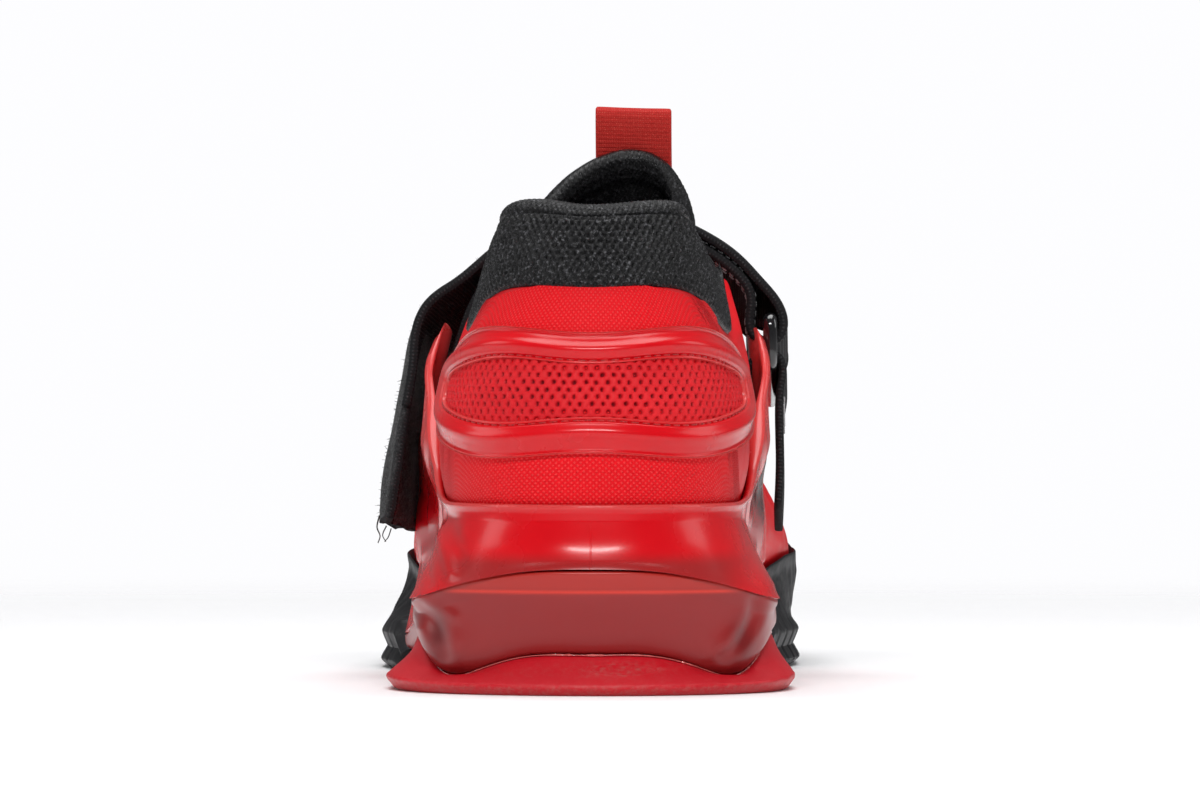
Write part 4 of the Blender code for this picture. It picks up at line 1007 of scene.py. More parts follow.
def make_shell():
    """The red shell: satin film over a padded back, with the throat and eyelets."""
    even = np.linspace(0, FULL_TURN, 400, endpoint=False)
    round_end = np.linspace(*THROAT_END, 18)
    ends = np.concatenate([LAST.angle_at(round_end, side) % FULL_TURN for side in (1, -1)])
    angles = np.unique(np.concatenate([even, ends]))
    along = LAST.top.along(angles)
    end = 1 - soft_margin(along) / LAST.length(angles)
    share = end[:, None] * np.linspace(0, 1, 68)
    grid = LAST.point(angles[:, None], share)
    # flex creases across the vamp, and slack over the side of the arch
    x, y, z = np.moveaxis(grid, -1, 0)
    rise = np.zeros(x.shape)
    for line, width, depth in VAMP_CREASES:
        rise += depth * soft_line(x, y, line, width) * ease(z, 30, 42)
    rise *= ease(np.abs(along - 205)[:, None], 60, 30)
    for line, width, depth in SIDE_CREASES:
        for side in (1, -1):
            rise += depth * soft_line(y, z, line, width) * (x * side > 0)
    full = ease(y, 58, 88) * ease(y, 124, 112) * ease(z, 56, 78) * ease(z, 106, 99)
    full = full * ease(along[:, None], 56, 72) * ease(share / end[:, None], 1.0, 0.92)
    rise += np.where(x > 0, BULGE_MEDIAL, BULGE_LATERAL) * full
    normal = normals_of(grid, wrap_rows=True)
    # both sides move together where they meet over the toes
    normal[:, -1, 0] = np.where(along > THROAT_END[1], 0.0, normal[:, -1, 0])
    grid = grid + rise[..., None] * normal
    made = shape("upper_shell", grid, (SATIN, LINING), "upper_red", "upper",
                 wrap_rows=True, weld=0.02)
    wall = made.modifiers.new("wall", "SOLIDIFY")
    wall.thickness = UPPER_WALL * MM
    wall.offset = -1
    wall.material_offset = 1
    wall.material_offset_rim = 0
    holes = made.modifiers.new("eyelets", "BOOLEAN")
    holes.operation = "DIFFERENCE"
    holes.solver = "EXACT"
    holes.object = cutters = eyelet_cutters()
    settle(made)
    bpy.data.objects.remove(cutters)


VAMP_CREASES = (
    (((-34, 199), (-20, 206), (0, 209), (18, 206), (32, 198)), 2.4, -0.75),
    (((-38, 208), (-20, 216), (2, 218), (20, 215), (36, 207)), 2.8, 0.5),
    (((-36, 217), (-16, 224), (4, 226), (24, 222), (38, 214)), 2.4, -0.6),
    (((-26, 232), (-8, 236), (10, 235), (28, 228)), 2.6, -0.35),
)
SIDE_CREASES = (
    (((176, 44), (168, 52), (156, 58)), 2.4, -0.6),
    (((186, 38), (178, 47), (168, 56)), 2.6, 0.4),
    (((196, 36), (190, 44), (180, 52)), 2.2, -0.5),
)


def eyelet(along, side, out=0.0):
    """The centre of an eyelet on the last, moved outwards by out."""
    distance = float(shell_margin(along)) + EYELET_INSET
    return LAST.below_top(LAST.angle_at(along, side), distance, out)


def eyelet_cutters():
    """Round bars through the shell, one for each eyelet."""
    work = bmesh.new()
    for along in EYELET_ROWS:
        for side in (1, -1):
            inner, outer = eyelet(along, side, -5.0) + SHIFT, eyelet(along, side, 4.0) + SHIFT
            axis = Vector(outer - inner)
            turn = axis.to_track_quat("Z", "Y").to_matrix().to_4x4()
            turn.translation = Vector((inner + outer) / 2) * MM
            radius = EYELET_RADIUS * MM
            bmesh.ops.create_cone(work, cap_ends=True, segments=24, radius1=radius,
                                  radius2=radius, depth=axis.length * MM, matrix=turn)
    mesh = bpy.data.meshes.new("eyelet_cutters")
    work.to_mesh(mesh)
    work.free()
    return link("eyelet_cutters", mesh)


def make_eyelets():
    """A rolled rim round each eyelet."""
    rims = []
    for along in EYELET_ROWS:
        for side in (1, -1):
            centre, above = eyelet(along, side, 0.25), eyelet(along, side, 1.25)
            axis = unit(above - centre)
            across = unit(np.cross(axis, (0.0, 1.0, 0.2)))
            ahead = np.cross(axis, across)
            turn = np.linspace(0, FULL_TURN, 33)[:, None]
            circle = across * np.cos(turn) + ahead * np.sin(turn)
            path = centre + (EYELET_RADIUS + 0.35) * circle
            rims.append(tube(path, 0.75, 10, 0.6, up=axis))
    many("eyelet_rims", rims, PLASTIC)


# Half widths of the woven panel behind the heel: height, half width
HEEL_PANEL = ((40, 39.5), (62, 38.6), (75, 37.2), (84, 34.6), (89, 32.6), (93.5, 29.6), (98, 27))
HEEL_PANEL_FOOT = 41
HEEL_PANEL_TOP = 99.5


def make_heel_panel():
    """The woven panel behind the heel, under the band and the collar."""
    rows = np.linspace(0, 1, 60)
    half_width = Spline(*zip(*HEEL_PANEL))
    angles, heights = [], []
    for share in np.linspace(-1, 1, 170):
        top = HEEL_PANEL_TOP - 5.5 * abs(share) ** 2.6
        height = HEEL_PANEL_FOOT + (top - HEEL_PANEL_FOOT) * rows
        heights.append(height)
        angles.append(heel_angle(share * half_width(height), height))
    angles, heights = np.array(angles), np.array(heights)
    # both side edges dip into the shell
    run = run_along(LAST.at_height(angles, heights), 0)
    dip = rounded_edge(np.minimum(run, run[-1:] - run), 1.2)
    grid = LAST.at_height(angles, heights, 0.75 * dip - 0.25)
    shape("heel_panel", grid, RIPSTOP, "upper_red")


def band_outline(turn, size):
    """Angle and height on one edge of the band; size is reach, top, bottom, waist."""
    reach, top, bottom, waist = size
    c, s = np.cos(turn), np.sin(turn)
    angle = reach * c
    hump = np.sin(np.minimum(np.abs(angle) / reach, 1.0) * HALF_TURN) ** 2 * waist
    middle = (top + bottom) / 2
    half = (top - bottom) / 2 + np.where(s > 0, hump, hump * 0.9)
    return angle, middle + half * np.sign(s) * np.abs(s) ** 0.5


# Share across the band from its inner edge, and its height above the shell
BAND_PROFILE = (
    (0.0, 0.2), (0.012, 1.25), (0.04, 1.75), (0.075, 1.7), (0.105, 1.32), (0.135, 1.75),
    (0.22, 2.35), (0.38, 2.95), (0.52, 2.75), (0.66, 2.0), (0.8, 1.45), (0.9, 1.3),
    (0.945, 1.5), (0.98, 1.45), (0.995, 1.0), (1.0, -0.1),
)


BAND_GROOVE = 0.105
BAND_STITCHES = 118


def make_band():
    """The moulded loop round the heel, with its stitched groove round the window."""
    turn = (np.linspace(0, FULL_TURN, 520, endpoint=False))[:, None]
    shares, outs = zip(*BAND_PROFILE)
    share = np.interp(np.linspace(0, 15, 61), range(16), shares)
    out = np.minimum(Spline(shares, outs)(share), 3.0)
    inner, outer = band_outline(turn, BAND_INNER), band_outline(turn, BAND_OUTER)
    angle = inner[0] * (1 - share) + outer[0] * share
    height = inner[1] * (1 - share) + outer[1] * share
    grid = LAST.at_height(angle, height, np.broadcast_to(out, angle.shape))
    side = np.abs(np.cos(turn))
    # painted highlights on the band's outer and inner edges, partly also the paleness of its
    # thin plastic there, and painted reflections at its ends on the sides of the shoe
    pale = np.maximum(ease(share, 0.9, 0.99), 0.8 * ease(share, 0.07, 0.02)) * 0.8
    pale = np.maximum(pale * (0.55 + 0.45 * side), 0.34 * ease(side, 0.8, 1.0))
    shape("band_moulding", grid, MOULDED, "red_moulding", "counter_band", wrap_rows=True,
          marks={"pale": pale, "painted_shade": 0.0})
    stitches = []
    pitch, groove = FULL_TURN / BAND_STITCHES, BAND_GROOVE
    for start in np.arange(0, FULL_TURN, pitch):
        t = start + np.linspace(0, pitch * 0.62, 5)
        low, high = band_outline(t, BAND_INNER), band_outline(t, BAND_OUTER)
        a = low[0] * (1 - groove) + high[0] * groove
        h = low[1] * (1 - groove) + high[1] * groove
        arch = 1.36 + 0.14 * STITCH_ARCH
        stitches.append(tube(LAST.at_height(a, h, arch), 0.2, 6))
    many("band_stitches", stitches, RED_THREAD, caps=True)


def lattice(u, v, across, up):
    """A staggered lattice: 1 in the middle of its holes and -1 between them."""
    return np.cos(FULL_TURN * u / across) * np.cos(HALF_TURN * v / up)


KNIT_REACH = 0.8
KNIT_HEIGHTS = (63.4, 83.6)
KNIT_MIDDLE, KNIT_HALF = 73.4, 8.4


def make_knit():
    """The open knit in the band's window, with real pits between its threads, painted shade in
    the pits and painted highlights on the crests.
    """
    angle = np.linspace(-KNIT_REACH, KNIT_REACH, 380)[:, None]
    height = np.linspace(*KNIT_HEIGHTS, 112)[None, :]
    angle, height = np.broadcast_arrays(angle, height)
    flat = LAST.at_height(angle, height)
    u = run_along(flat, 0)
    u = u[:, 55:56] - u[190, 55]
    wander = 0.16 * np.sin(u * 0.9 + height * 0.5) + 0.1 * np.sin(u * 2.3 - height * 1.1)
    waves = lattice(u + wander, height + 0.5 * wander, 2.6, 1.75)
    pit = ease(waves, 0.34, 0.95)
    chain = np.cos(FULL_TURN * (u + wander) / 1.3) * 0.5 + 0.5
    crest = ease(-waves, -0.1, 0.9) * 0.5 + 0.5 * ease(np.abs(waves), 0.5, 0.1) * chain
    away = np.hypot(angle / BAND_INNER[0], (height - KNIT_MIDDLE) / KNIT_HALF)
    pillow = 0.75 * ease(away, 1.25, 0.3)
    out = 0.75 + pillow + 0.42 * crest - 0.95 * pit
    out = np.where(away > 1.32, np.minimum(out, 0.6), out)
    grid = LAST.at_height(angle, height, out)
    uv = np.stack(np.broadcast_arrays(u, height), -1)
    # the pit mark paints shade in the pits, the crest mark paints highlights on the threads
    shape("heel_knit", grid, KNIT, "upper_red", uv=uv,
          marks={"pit": pit, "crest": crest})


# ---------------------------------------------------------------- collar and tongue


def collar_profile(angle, reach):
    """The collar's section, as distances below the top ring and outwards."""
    margin = soft_margin(LAST.top.along(angle))
    fullness = np.maximum(np.cos(angle / reach * HALF_TURN / 2), 0.0) ** 0.5
    pad = COLLAR_END_PAD + (COLLAR_BACK_PAD - COLLAR_END_PAD) * fullness
    drop = COLLAR_END_DROP + (COLLAR_BACK_DROP - COLLAR_END_DROP) * fullness
    inside = -UPPER_WALL - 0.9
    one = np.ones_like(margin)
    return (
        (margin + 0.6, 0.1 * one),
        (margin - 0.2, 1.1 * one),
        (margin * 0.8 - 1, 1.75 * one),
        (margin * 0.35 + 1.0, 1.7 * one),
        (3.4 * one, 1.1 * one),
        (2.5 * one, 0.25 * one),
        (1.5 * one, 0.1 * one),
        (-0.2 * one, -0.9 * one),
        (-1.4 * one, -3.2 * one),
        (-1.0 * one, -pad * 0.75),
        (margin * 0.4, -pad),
        (margin + 6, -pad * 0.92),
        (margin + drop * 0.7, -pad * 0.7),
        (margin + drop, inside - 1.2),
        (margin + drop, inside),
    )


def collar_point(angle, below, out):
    """Points near the top ring; above it, they rise straight up."""
    point = LAST.below_top(angle, np.maximum(below, 0.0), out)
    point[..., 2] += np.maximum(-below, 0.0)
    return point


def make_collar():
    """The padded collar: open knit outside, over the roll and down inside."""
    reach = float(LAST.top.angle_of(COLLAR_FRONT))
    angle = np.linspace(-reach, reach, 520)
    knots = np.stack(
        [collar_point(angle, below, out) for below, out in collar_profile(angle, reach)]
    )
    x = knots[7, :, 0]
    hump = sum(height * bell(x - middle, width) for middle, width, height in CROWN_HUMPS)
    behind = ease(knots[7, :, 1], 44, 26)
    knots[5:11, :, 2] += (hump * behind - 0.2)[None, :] * CROWN_RISE[:, None]
    spread = CROWN_CORNER * bell(np.abs(x) - 17.5, 4.6) * np.sign(x) * behind
    knots[3:12, :, 0] += spread[None, :] * CROWN_SPREAD[:, None]
    counts = (4, 8, 18, 16, 8, 6, 8, 8, 12, 12, 12, 12, 14, 5)
    grid = through(knots, counts).transpose(1, 0, 2)
    run_u = run_along(grid, 0)[:, 25]
    u = (run_u - np.interp(0, angle, run_u))[:, None]
    v = run_along(grid, 1)
    column = np.arange(grid.shape[1])[None, :]
    seam = sum(counts[:5])
    outer = ease(column, seam + 1, seam - 3)
    at_back = ease(np.abs(u), 46, 42)
    wander = 0.18 * np.sin(u * 1.1 + v * 0.7) + 0.12 * np.sin(u * 2.9 - v * 1.3)
    coarse = lattice(u + wander, v + 0.6 * wander, 2.05, 1.5)
    fine = lattice(u + 0.5 * wander, v, 1.45, 1.1)
    holes, fine_holes = ease(coarse, 0.15, 0.85), ease(fine, 0.3, 0.9)
    open_knit = outer * at_back
    pit = np.maximum(holes * open_knit, 0.7 * fine_holes * (1 - open_knit))
    relief = 0.34 * ease(-coarse, -0.3, 0.8) - 0.55 * holes
    soft = 0.14 * ease(-fine, -0.3, 0.8) - 0.22 * fine_holes
    rise = relief * open_knit + soft * (1 - open_knit)
    seam_dip = bell(column - seam, 1.6) * 0.5
    rise = rise * (1 - 0.8 * seam_dip) - seam_dip * at_back
    rise = rise * ease(column, 1, 4)
    normal = normals_of(grid)
    grid = grid + rise[..., None] * normal * collar_outward(grid, normal)
    uv = np.stack(np.broadcast_arrays(u, v), -1)
    # the pit mark paints shade in the holes of the knit
    made = shape("collar_pad", grid, MESH, "black_mesh", "collar", uv=uv, caps=True,
                 marks={"pit": pit})


# Humps on the collar's crown seen from behind: x, width, height
CROWN_HUMPS = ((-16.5, 7.5, 1.4), (18.5, 7, 1.2))
CROWN_CORNER = 3.3
# Shares of the crown's shaping taken by the rings over the roll
CROWN_RISE = np.array([0.7, 1, 1, 1, 0.9, 0.5])
CROWN_SPREAD = np.array([0.25, 0.6, 0.85, 1, 1, 1, 0.9, 0.6, 0.3])


def collar_outward(grid, normal):
    """1 or -1: the way that makes a grid's normals point out of the padding."""
    middle = grid.mean(1, keepdims=True)
    facing = np.sum((grid - middle) * normal, axis=2)
    return 1.0 if np.median(facing) > 0 else -1.0


def make_gussets():
    """The finer knit each side, between the heel panel and the smooth quarters."""
    for name, side, low in (("gusset_medial", 1, 89.6), ("gusset_lateral", -1, 90.6)):
        rows = np.linspace(0, 1, 60)[:, None]
        height = low + (101 - low) * rows
        inner = np.interp(height, (low, 93, 97, 101), (32.2, 30.0, 28.4, 27.0))
        outer = np.interp(height, (low, 91.5, 95, 101), (33.0, 34.0, 33.6, 32.6))
        columns = np.linspace(0, 1, 34)[None, :]
        x = side * (inner - 1.5 + (outer - inner + 1.5) * columns)
        height = np.broadcast_to(height, x.shape)
        angle = heel_angle(x, height)
        flat = LAST.at_height(angle, height)
        u = run_along(flat, 1)
        fine = lattice(u, height, 1.3, 1.0)
        pit = ease(fine, 0.3, 0.9)
        dip = ease(columns, 1.0, 0.9) * ease(rows, 0.0, 0.06)
        out = (0.75 + 0.12 * ease(-fine, -0.3, 0.8) - 0.22 * pit) * dip - 0.3 * (1 - dip)
        grid = LAST.at_height(angle, height, out)
        uv = np.stack([u, height], -1)
        # the pit mark paints shade in the holes of the knit
        shape(name, grid, FINE_MESH, "black_mesh", uv=uv, marks={"pit": 0.8 * pit})


def tongue_row(along, half_width, columns, shift, sink):
    """Points across the tongue, from the lateral side to the medial."""
    distance = columns * half_width
    angle = np.where(distance > 0, LAST.angle_at(along, 1), LAST.angle_at(along, -1))
    return LAST.below_top(angle, np.abs(distance), sink) + np.asarray(shift, float)


# The tongue's upper edge seen from behind: share across, x, z
ARCH = np.array((
    (-1.15, -20.5, 112.0),
    (-1.0, -18.0, 116.5),
    (-0.75, -13.8, 122.6),
    (-0.5, -8.6, 127.8),
    (-0.25, -2.0, 132.0),
    (0.0, 5.5, 134.6),
    (0.25, 12.5, 134.0),
    (0.5, 18.2, 130.4),
    (0.75, 22.2, 123.6),
    (1.0, 24.4, 113.6),
    (1.15, 25.4, 107.0),
))


def make_tongue():
    """The padded tongue: a thick rolled rim, and a hollow back with finer cloth."""
    front = -UPPER_WALL - 1.0
    rows = [(along, half, 0.0, 0.0, 0.0) for along, half in TONGUE_ROWS]
    last_along = TONGUE_ROWS[-1][0]
    rows += [(last_along, half, a, y, z) for a, y, z, half in TONGUE_RISE]
    rows = np.array(rows, float)
    along, height = rows[:, 0] + rows[:, 3], np.diff(rows[:, 4]) + 0.4 * np.diff(rows[:, 0])
    path = running(np.hypot(np.diff(along), height))
    curves = [Spline(path, rows[:, k]) for k in range(5)]
    places = np.linspace(0, path[-1], 180)
    columns = np.linspace(-1, 1, 112)
    outer_face = []
    for p in places:
        along, half, across, y, z = [float(curve(p)) for curve in curves]
        outer_face.append(tongue_row(along, half, columns, (across, y, z), front))
    outer_face = np.array(outer_face)
    arch = np.stack([np.interp(columns, ARCH[:, 0], ARCH[:, k]) for k in (1, 2)], -1)
    soft = np.exp(-((columns[:, None] - columns[None, :]) / 0.1) ** 2)
    arch = soft @ arch / soft.sum(1, keepdims=True)
    wanted = arch - outer_face[-1][:, [0, 2]]
    rising = ease(places, path[len(TONGUE_ROWS) - 1], path[-1])[:, None, None]
    outer_face[..., [0, 2]] += rising * wanted
    normal = normals_of(outer_face)
    if normal[50, 56, 2] < 0:
        normal = -normal
    run, width = run_along(outer_face, 0), run_along(outer_face, 1)
    from_top = run[-1:] - run
    from_side = np.minimum(width, width[:, -1:] - width)
    from_edge = np.minimum(from_top, from_side)
    round_edge = rounded_edge(from_edge, 2.6)
    hollow = ease(from_edge, 5.0, 9.5) * ease(run, 40, 70)
    line = bell(from_edge - 5.4, 0.5) + 0.6 * bell(from_edge - 2.4, 0.4)
    half = TONGUE_THICKNESS / 2
    middle = outer_face - half * normal
    mesh = lattice(width, run, 1.5, 1.15)
    weave = 0.16 * ease(-mesh, -0.3, 0.8) - 0.26 * ease(mesh, 0.3, 0.9)
    weave = weave * ease(from_edge, 0.5, 2)
    top = middle + (half * round_edge + weave)[..., None] * normal
    thick = half * round_edge - 1.5 * hollow - 0.45 * line * ease(run, 40, 70)
    under = middle - (thick + weave)[..., None] * normal
    grid = np.concatenate([top, under[:, ::-1]], 1)
    uv = np.stack([np.concatenate([width, width[:, ::-1] + 60], 1),
                   np.concatenate([run, run[:, ::-1]], 1)], -1)
    uv = np.concatenate([uv, uv[:, :1]], 1)
    # painted shade in the holes of the mesh, on both faces
    pit = 0.8 * ease(mesh, 0.3, 0.9)
    pit = np.concatenate([pit, pit[:, ::-1]], 1)
    made = solid("tongue_pad", grid, FINE_MESH, "black_mesh", "tongue", uv=uv,
                 marks={"pit": pit})


# ---------------------------------------------------------------- webbing


def tape(path, reach, thickness, bow=0.0, columns=26, flatness=7.0, waves=None):
    """Sections of a woven tape: its rear edge's path and the way across it."""
    path = np.asarray(path, float)
    step = np.gradient(path, axis=0)
    normal = unit(np.cross(step, reach))
    share = (1 - np.cos(np.linspace(0, HALF_TURN, columns))) / 2
    share = 0.5 * share + 0.5 * np.linspace(0, 1, columns)
    half = (1 - np.abs(2 * share - 1) ** flatness) ** (1 / flatness)
    thickness = np.asarray(thickness, float).reshape(-1, 1, 1)
    half = np.maximum(half, 0.12)[None, :, None] * thickness / 2
    middle = path[:, None] + share[:, None] * reach[:, None]
    arch = 4 * share * (1 - share)
    middle = middle + (np.asarray(bow, float).reshape(-1, 1) * arch)[..., None] * normal[:, None]
    if waves is not None:
        middle = middle + waves(middle)[..., None] * normal[:, None]
    top = middle + half * normal[:, None]
    under = middle - half * normal[:, None]
    return np.concatenate([top, under[:, ::-1]], 1)


def fine_rows(rows, step):
    """A table's rows on a smooth curve through them, about a step apart."""
    rows = np.array(rows, float)
    run = running(np.hypot(*np.diff(rows[:, :2], axis=0).T))
    places = np.linspace(0, run[-1], int(run[-1] / step) + 2)
    return places, np.stack([Spline(run, rows[:, k])(places) for k in range(rows.shape[1])], -1)


def make_strap():
    """The strap: woven tape over the instep, through the ring, and back to its end."""
    places, rows = fine_rows(STRAP_PATH, 0.95)
    path = np.stack([rows[:, 0], np.full(len(rows), STRAP_REAR), rows[:, 1]], -1)
    reach, thickness, bow = rows[:, 2:5].copy(), rows[:, 5], rows[:, 6]
    total = places[-1]
    reach[:, 0] += 5.0 * ease(places, total - 62, total - 42)

    def waves(points):
        """Slight slackness, and a wavy cut at the hanging end."""
        y, z = points[..., 1], points[..., 2]
        hanging = ease(places, total - 46, total - 10)[:, None]
        sway = 0.5 * np.sin(y * 0.28 + 1.0) + 0.35 * np.sin(y * 0.6 + z * 0.2)
        slack = 0.15 * np.sin(places * 0.11)[:, None] * np.ones_like(y)
        low = ease(places, total - 64, total - 40)[:, None]
        curl = 3.2 * ease(y, 119.5, STRAP_REAR) ** 1.5 * low
        return hanging * sway + slack + curl

    grid = tape(path, reach, thickness, bow, 40, waves=waves)
    rng = np.random.default_rng(STRAY_SEED)
    columns = grid.shape[1]
    half = columns // 2
    # the cut end is ragged
    cuts = np.arange(0, half + 4, 4)
    ragged = np.interp(np.arange(half), cuts, rng.uniform(0.0, 1.0, len(cuts) + 1)[:-1])
    ragged = np.concatenate([ragged, ragged[::-1]])
    pull = ease(places, total - 5, total)[:, None] * ragged[None, :]
    grid[..., 2] += 2.0 * pull
    made = solid("strap_tape", grid, (BLACK_TAPE, PILE), "black_webbing", "strap")
    # the side towards the foot on the way out, and its fold, is the fuzzy one
    index = np.arange(len(made.data.polygons) - 2)
    column = index % columns
    row = index // columns
    fuzzy = (column >= half) & (places[row] > total * 0.52)
    fuzzy |= (column < half) & (places[row] > total - 52) & (column > half * 0.35)
    flags = np.zeros(len(made.data.polygons), np.int32)
    flags[: len(index)] = fuzzy.astype(np.int32)
    made.data.polygons.foreach_set("material_index", flags)
    make_strap_trim(grid, places, rng)


STRAP_FIBRES = 1500
STITCH_ARCH = np.sin(np.linspace(0, HALF_TURN, 5))


def make_strap_trim(grid, places, rng):
    """Bound edges, rows of stitches, loose fibres and threads on the strap."""
    columns = grid.shape[1]
    half = columns // 2
    total = places[-1]
    edges = []
    for c in (0, half - 1):
        path = (grid[:, c] + grid[:, columns - 1 - c]) / 2
        edges.append(tube(path[places < total - 30], 1.22, 10, 1.0, up=(0, 1, 0.1)))
    many("strap_binding", edges, BLACK_TAPE, caps=True)
    stitches = []
    for near, far, side, share in STRAP_STITCHES:
        column = int(share * (half - 1))
        if side < 0:
            column = columns - 1 - column
        opposite = columns - 1 - column
        for start in np.arange(near, far, 2.3):
            s = np.linspace(start, start + 1.45, 5)
            face = [np.interp(s, places, grid[:, column, k]) for k in range(3)]
            back = [np.interp(s, places, grid[:, opposite, k]) for k in range(3)]
            face, back = np.stack(face, -1), np.stack(back, -1)
            lift = 0.05 + 0.12 * STITCH_ARCH[:, None]
            stitches.append(tube(face + unit(face - back) * lift, 0.24, 6))
    many("strap_stitches", stitches, PALE_THREAD, caps=True)
    hairs = []
    for _ in range(STRAP_FIBRES):
        row = rng.integers(int(len(places) * 0.74), len(places) - 2)
        column = rng.integers(int(half * 0.3), half)
        if rng.random() < 0.45:
            column = columns - 1 - rng.integers(0, half)
        root = grid[row, column]
        away = unit(root - grid[row, columns - 1 - column])
        lean = rng.normal(0, 0.5, 3)
        length = rng.uniform(0.35, 0.95)
        bend = unit(away + lean) * length
        curl = rng.normal(0, 0.25, 3)
        path = np.array([root, root + bend * 0.55, root + bend + curl * length])
        hairs.append(tube(path, (0.06, 0.05, 0.025), 3))
    many("strap_fibres", hairs, BLACK_THREAD)
    loose = []
    for path, radius in LOOSE_THREADS:
        smooth = through(np.array(path, float), [8] * (len(path) - 1))
        loose.append(tube(smooth, np.linspace(radius, radius * 0.6, len(smooth)), 6))
    many("loose_threads", loose, BLACK_THREAD, caps=True)


# Start and end along the strap, face, share across
STRAP_STITCHES = (
    (96.0, 124.0, 1, 0.1), (96.0, 124.0, 1, 0.9), (150.0, 182.0, 1, 0.1),
    (150.0, 182.0, 1, 0.16), (150.0, 182.0, 1, 0.9), (142.0, 186.0, -1, 0.1),
    (142.0, 186.0, -1, 0.17), (84.0, 122.0, -1, 0.1), (84.0, 122.0, -1, 0.17),
)
LOOSE_THREADS = (
    (((-56.6, 113, 41), (-57.2, 112.6, 38), (-56.4, 112.0, 35.8), (-56.9, 111.4, 34.0)), 0.22),
    (((-55.6, 128, 38), (-56.6, 128.6, 35.6), (-55.8, 129.4, 33.9)), 0.18),
    (((-55.0, 140, 37), (-55.8, 140.9, 34.8), (-56.8, 141.8, 33.6)), 0.18),
)


def make_pull_loop():
    """The folded, ribbed webbing on the front of the tongue."""
    places, rows = fine_rows(PULL_LOOP_PATH, 0.2)
    left = PULL_LOOP_X - PULL_LOOP_WIDTH / 2
    tilt = np.array((PULL_LOOP_WIDTH, 0.35, -0.55))
    path = np.stack([np.full(len(rows), left), rows[:, 0], rows[:, 1] + 0.3], -1)
    reach = np.tile(tilt, (len(rows), 1))
    ribs = 0.26 * np.abs(np.cos(HALF_TURN * places / 1.06))
    thickness = PULL_LOOP_THICKNESS - 0.25 + ribs
    grid = tape(path, reach, thickness, 0.15, 34, 9.0)
    solid("loop_tape", grid, RED_TAPE, "red_webbing", "pull_loop")


def make_ring():
    """The strap's ring: a rounded frame of glossy bar."""
    top, bottom = RING_HEIGHTS
    long_half, high_half = RING_LENGTH / 2 - RING_CORNER, (top - bottom) / 2 - RING_CORNER
    centres, outs = [], []
    for corner in range(4):
        middle = corner * HALF_TURN / 2 + HALF_TURN / 4
        for turn in np.linspace(corner * HALF_TURN / 2, (corner + 1) * HALF_TURN / 2, 9):
            c, s = math.cos(turn), math.sin(turn)
            along = math.copysign(long_half, math.cos(middle)) + RING_CORNER * c
            height = math.copysign(high_half, math.sin(middle)) + RING_CORNER * s
            centre = np.array([RING_X, RING_REAR + RING_LENGTH / 2 + along, (top + bottom) / 2])
            centre[2] += height + (along + RING_LENGTH / 2) * RING_LEAN
            centres.append(centre)
            outs.append((0.0, c, s))
    centres, outs = np.array(centres), np.array(outs)
    bar = np.linspace(0, FULL_TURN, 20, endpoint=False)[None, :, None]
    level = np.array([1.0, 0.0, 0.0]) * np.cos(bar) + outs[:, None] * np.sin(bar)
    grid = centres[:, None] + level * RING_BAR / 2
    shape("ring_bar", grid, PLASTIC, "black_plastic", "strap_ring", wrap_rows=True,
          wrap_columns=True)


def make_ring_tab():
    """The webbing tab that holds the ring."""
    places, rows = fine_rows(TAB_PATH, 0.6)
    path = np.stack([rows[:, 0], np.full(len(rows), RING_TAB_REAR), rows[:, 1]], -1)
    reach = np.tile((0.0, TAB_WIDTH, TAB_WIDTH * RING_LEAN), (len(rows), 1))
    grid = tape(path, reach, TAB_THICKNESS, 0.0, 40)
    solid("tab_tape", grid, BLACK_TAPE, "black_webbing", "ring_tab")
    stitches = []
    for share in np.linspace(0.06, 0.94, 15):
        for height in (71.5, 69.6):
            x = np.interp(-height, -rows[-50:, 1], rows[-50:, 0]) + TAB_THICKNESS / 2
            along = RING_TAB_REAR + TAB_WIDTH * share
            lean = TAB_WIDTH * RING_LEAN * share
            y = along + np.linspace(0, 1.5, 5)
            rise = lean + np.linspace(0, 1.5, 5) * RING_LEAN
            path = np.stack([np.full(5, x) + 0.1 * STITCH_ARCH, y, height + rise], -1)
            stitches.append(tube(path, 0.22, 6, up=(1, 0, 0)))
    many("tab_stitches", stitches, PALE_THREAD, caps=True)


def lace_path(start, end, lift):
    """The rear edge and the way across of one run of lace between two eyelets."""
    (along_a, side_a), (along_b, side_b) = start, end
    reach_a = side_a * (float(shell_margin(along_a)) + EYELET_INSET)
    reach_b = side_b * (float(shell_margin(along_b)) + EYELET_INSET)
    share = np.linspace(-0.05, 1.05, 46)
    along = along_a + (along_b - along_a) * share
    distance = reach_a + (reach_b - reach_a) * share
    tuck = ease(share, -0.05, 0.08) * ease(share, 1.05, 0.92)
    out = LACE_CLEARANCE + LACE_THICKNESS / 2 + lift
    out = -2.2 + (out + 2.2) * tuck
    narrow = 0.62 + 0.38 * ease(share, -0.02, 0.14) * ease(share, 1.02, 0.86)
    edges = []
    for shift in (-0.5, 0.5):
        where = along + shift * LACE_WIDTH * narrow
        angle = np.where(distance > 0, LAST.angle_at(where, 1), LAST.angle_at(where, -1))
        edges.append(LAST.below_top(angle, np.abs(distance), out))
    return edges[0], edges[1] - edges[0]


def make_laces():
    """Flat laces crossed through the eyelets, and the bar at the front."""
    pairs = list(zip(EYELET_ROWS, EYELET_ROWS[1:]))
    runs = [((a, -1), (b, 1), 0.0) for a, b in pairs]
    runs += [((a, 1), (b, -1), 0.9) for a, b in pairs]
    runs += [((EYELET_ROWS[0], -1), (EYELET_ROWS[0], 1), 0.4)]
    grids = []
    for start, end, lift in runs:
        rear, reach = lace_path(start, end, lift)
        grids.append(tape(rear, reach, LACE_THICKNESS * 0.8, 0.12, 12, 4.0))
    made = many("laces", grids, LACE_TAPE, caps=True)
    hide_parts("laces")


# ---------------------------------------------------------------- cage and sole


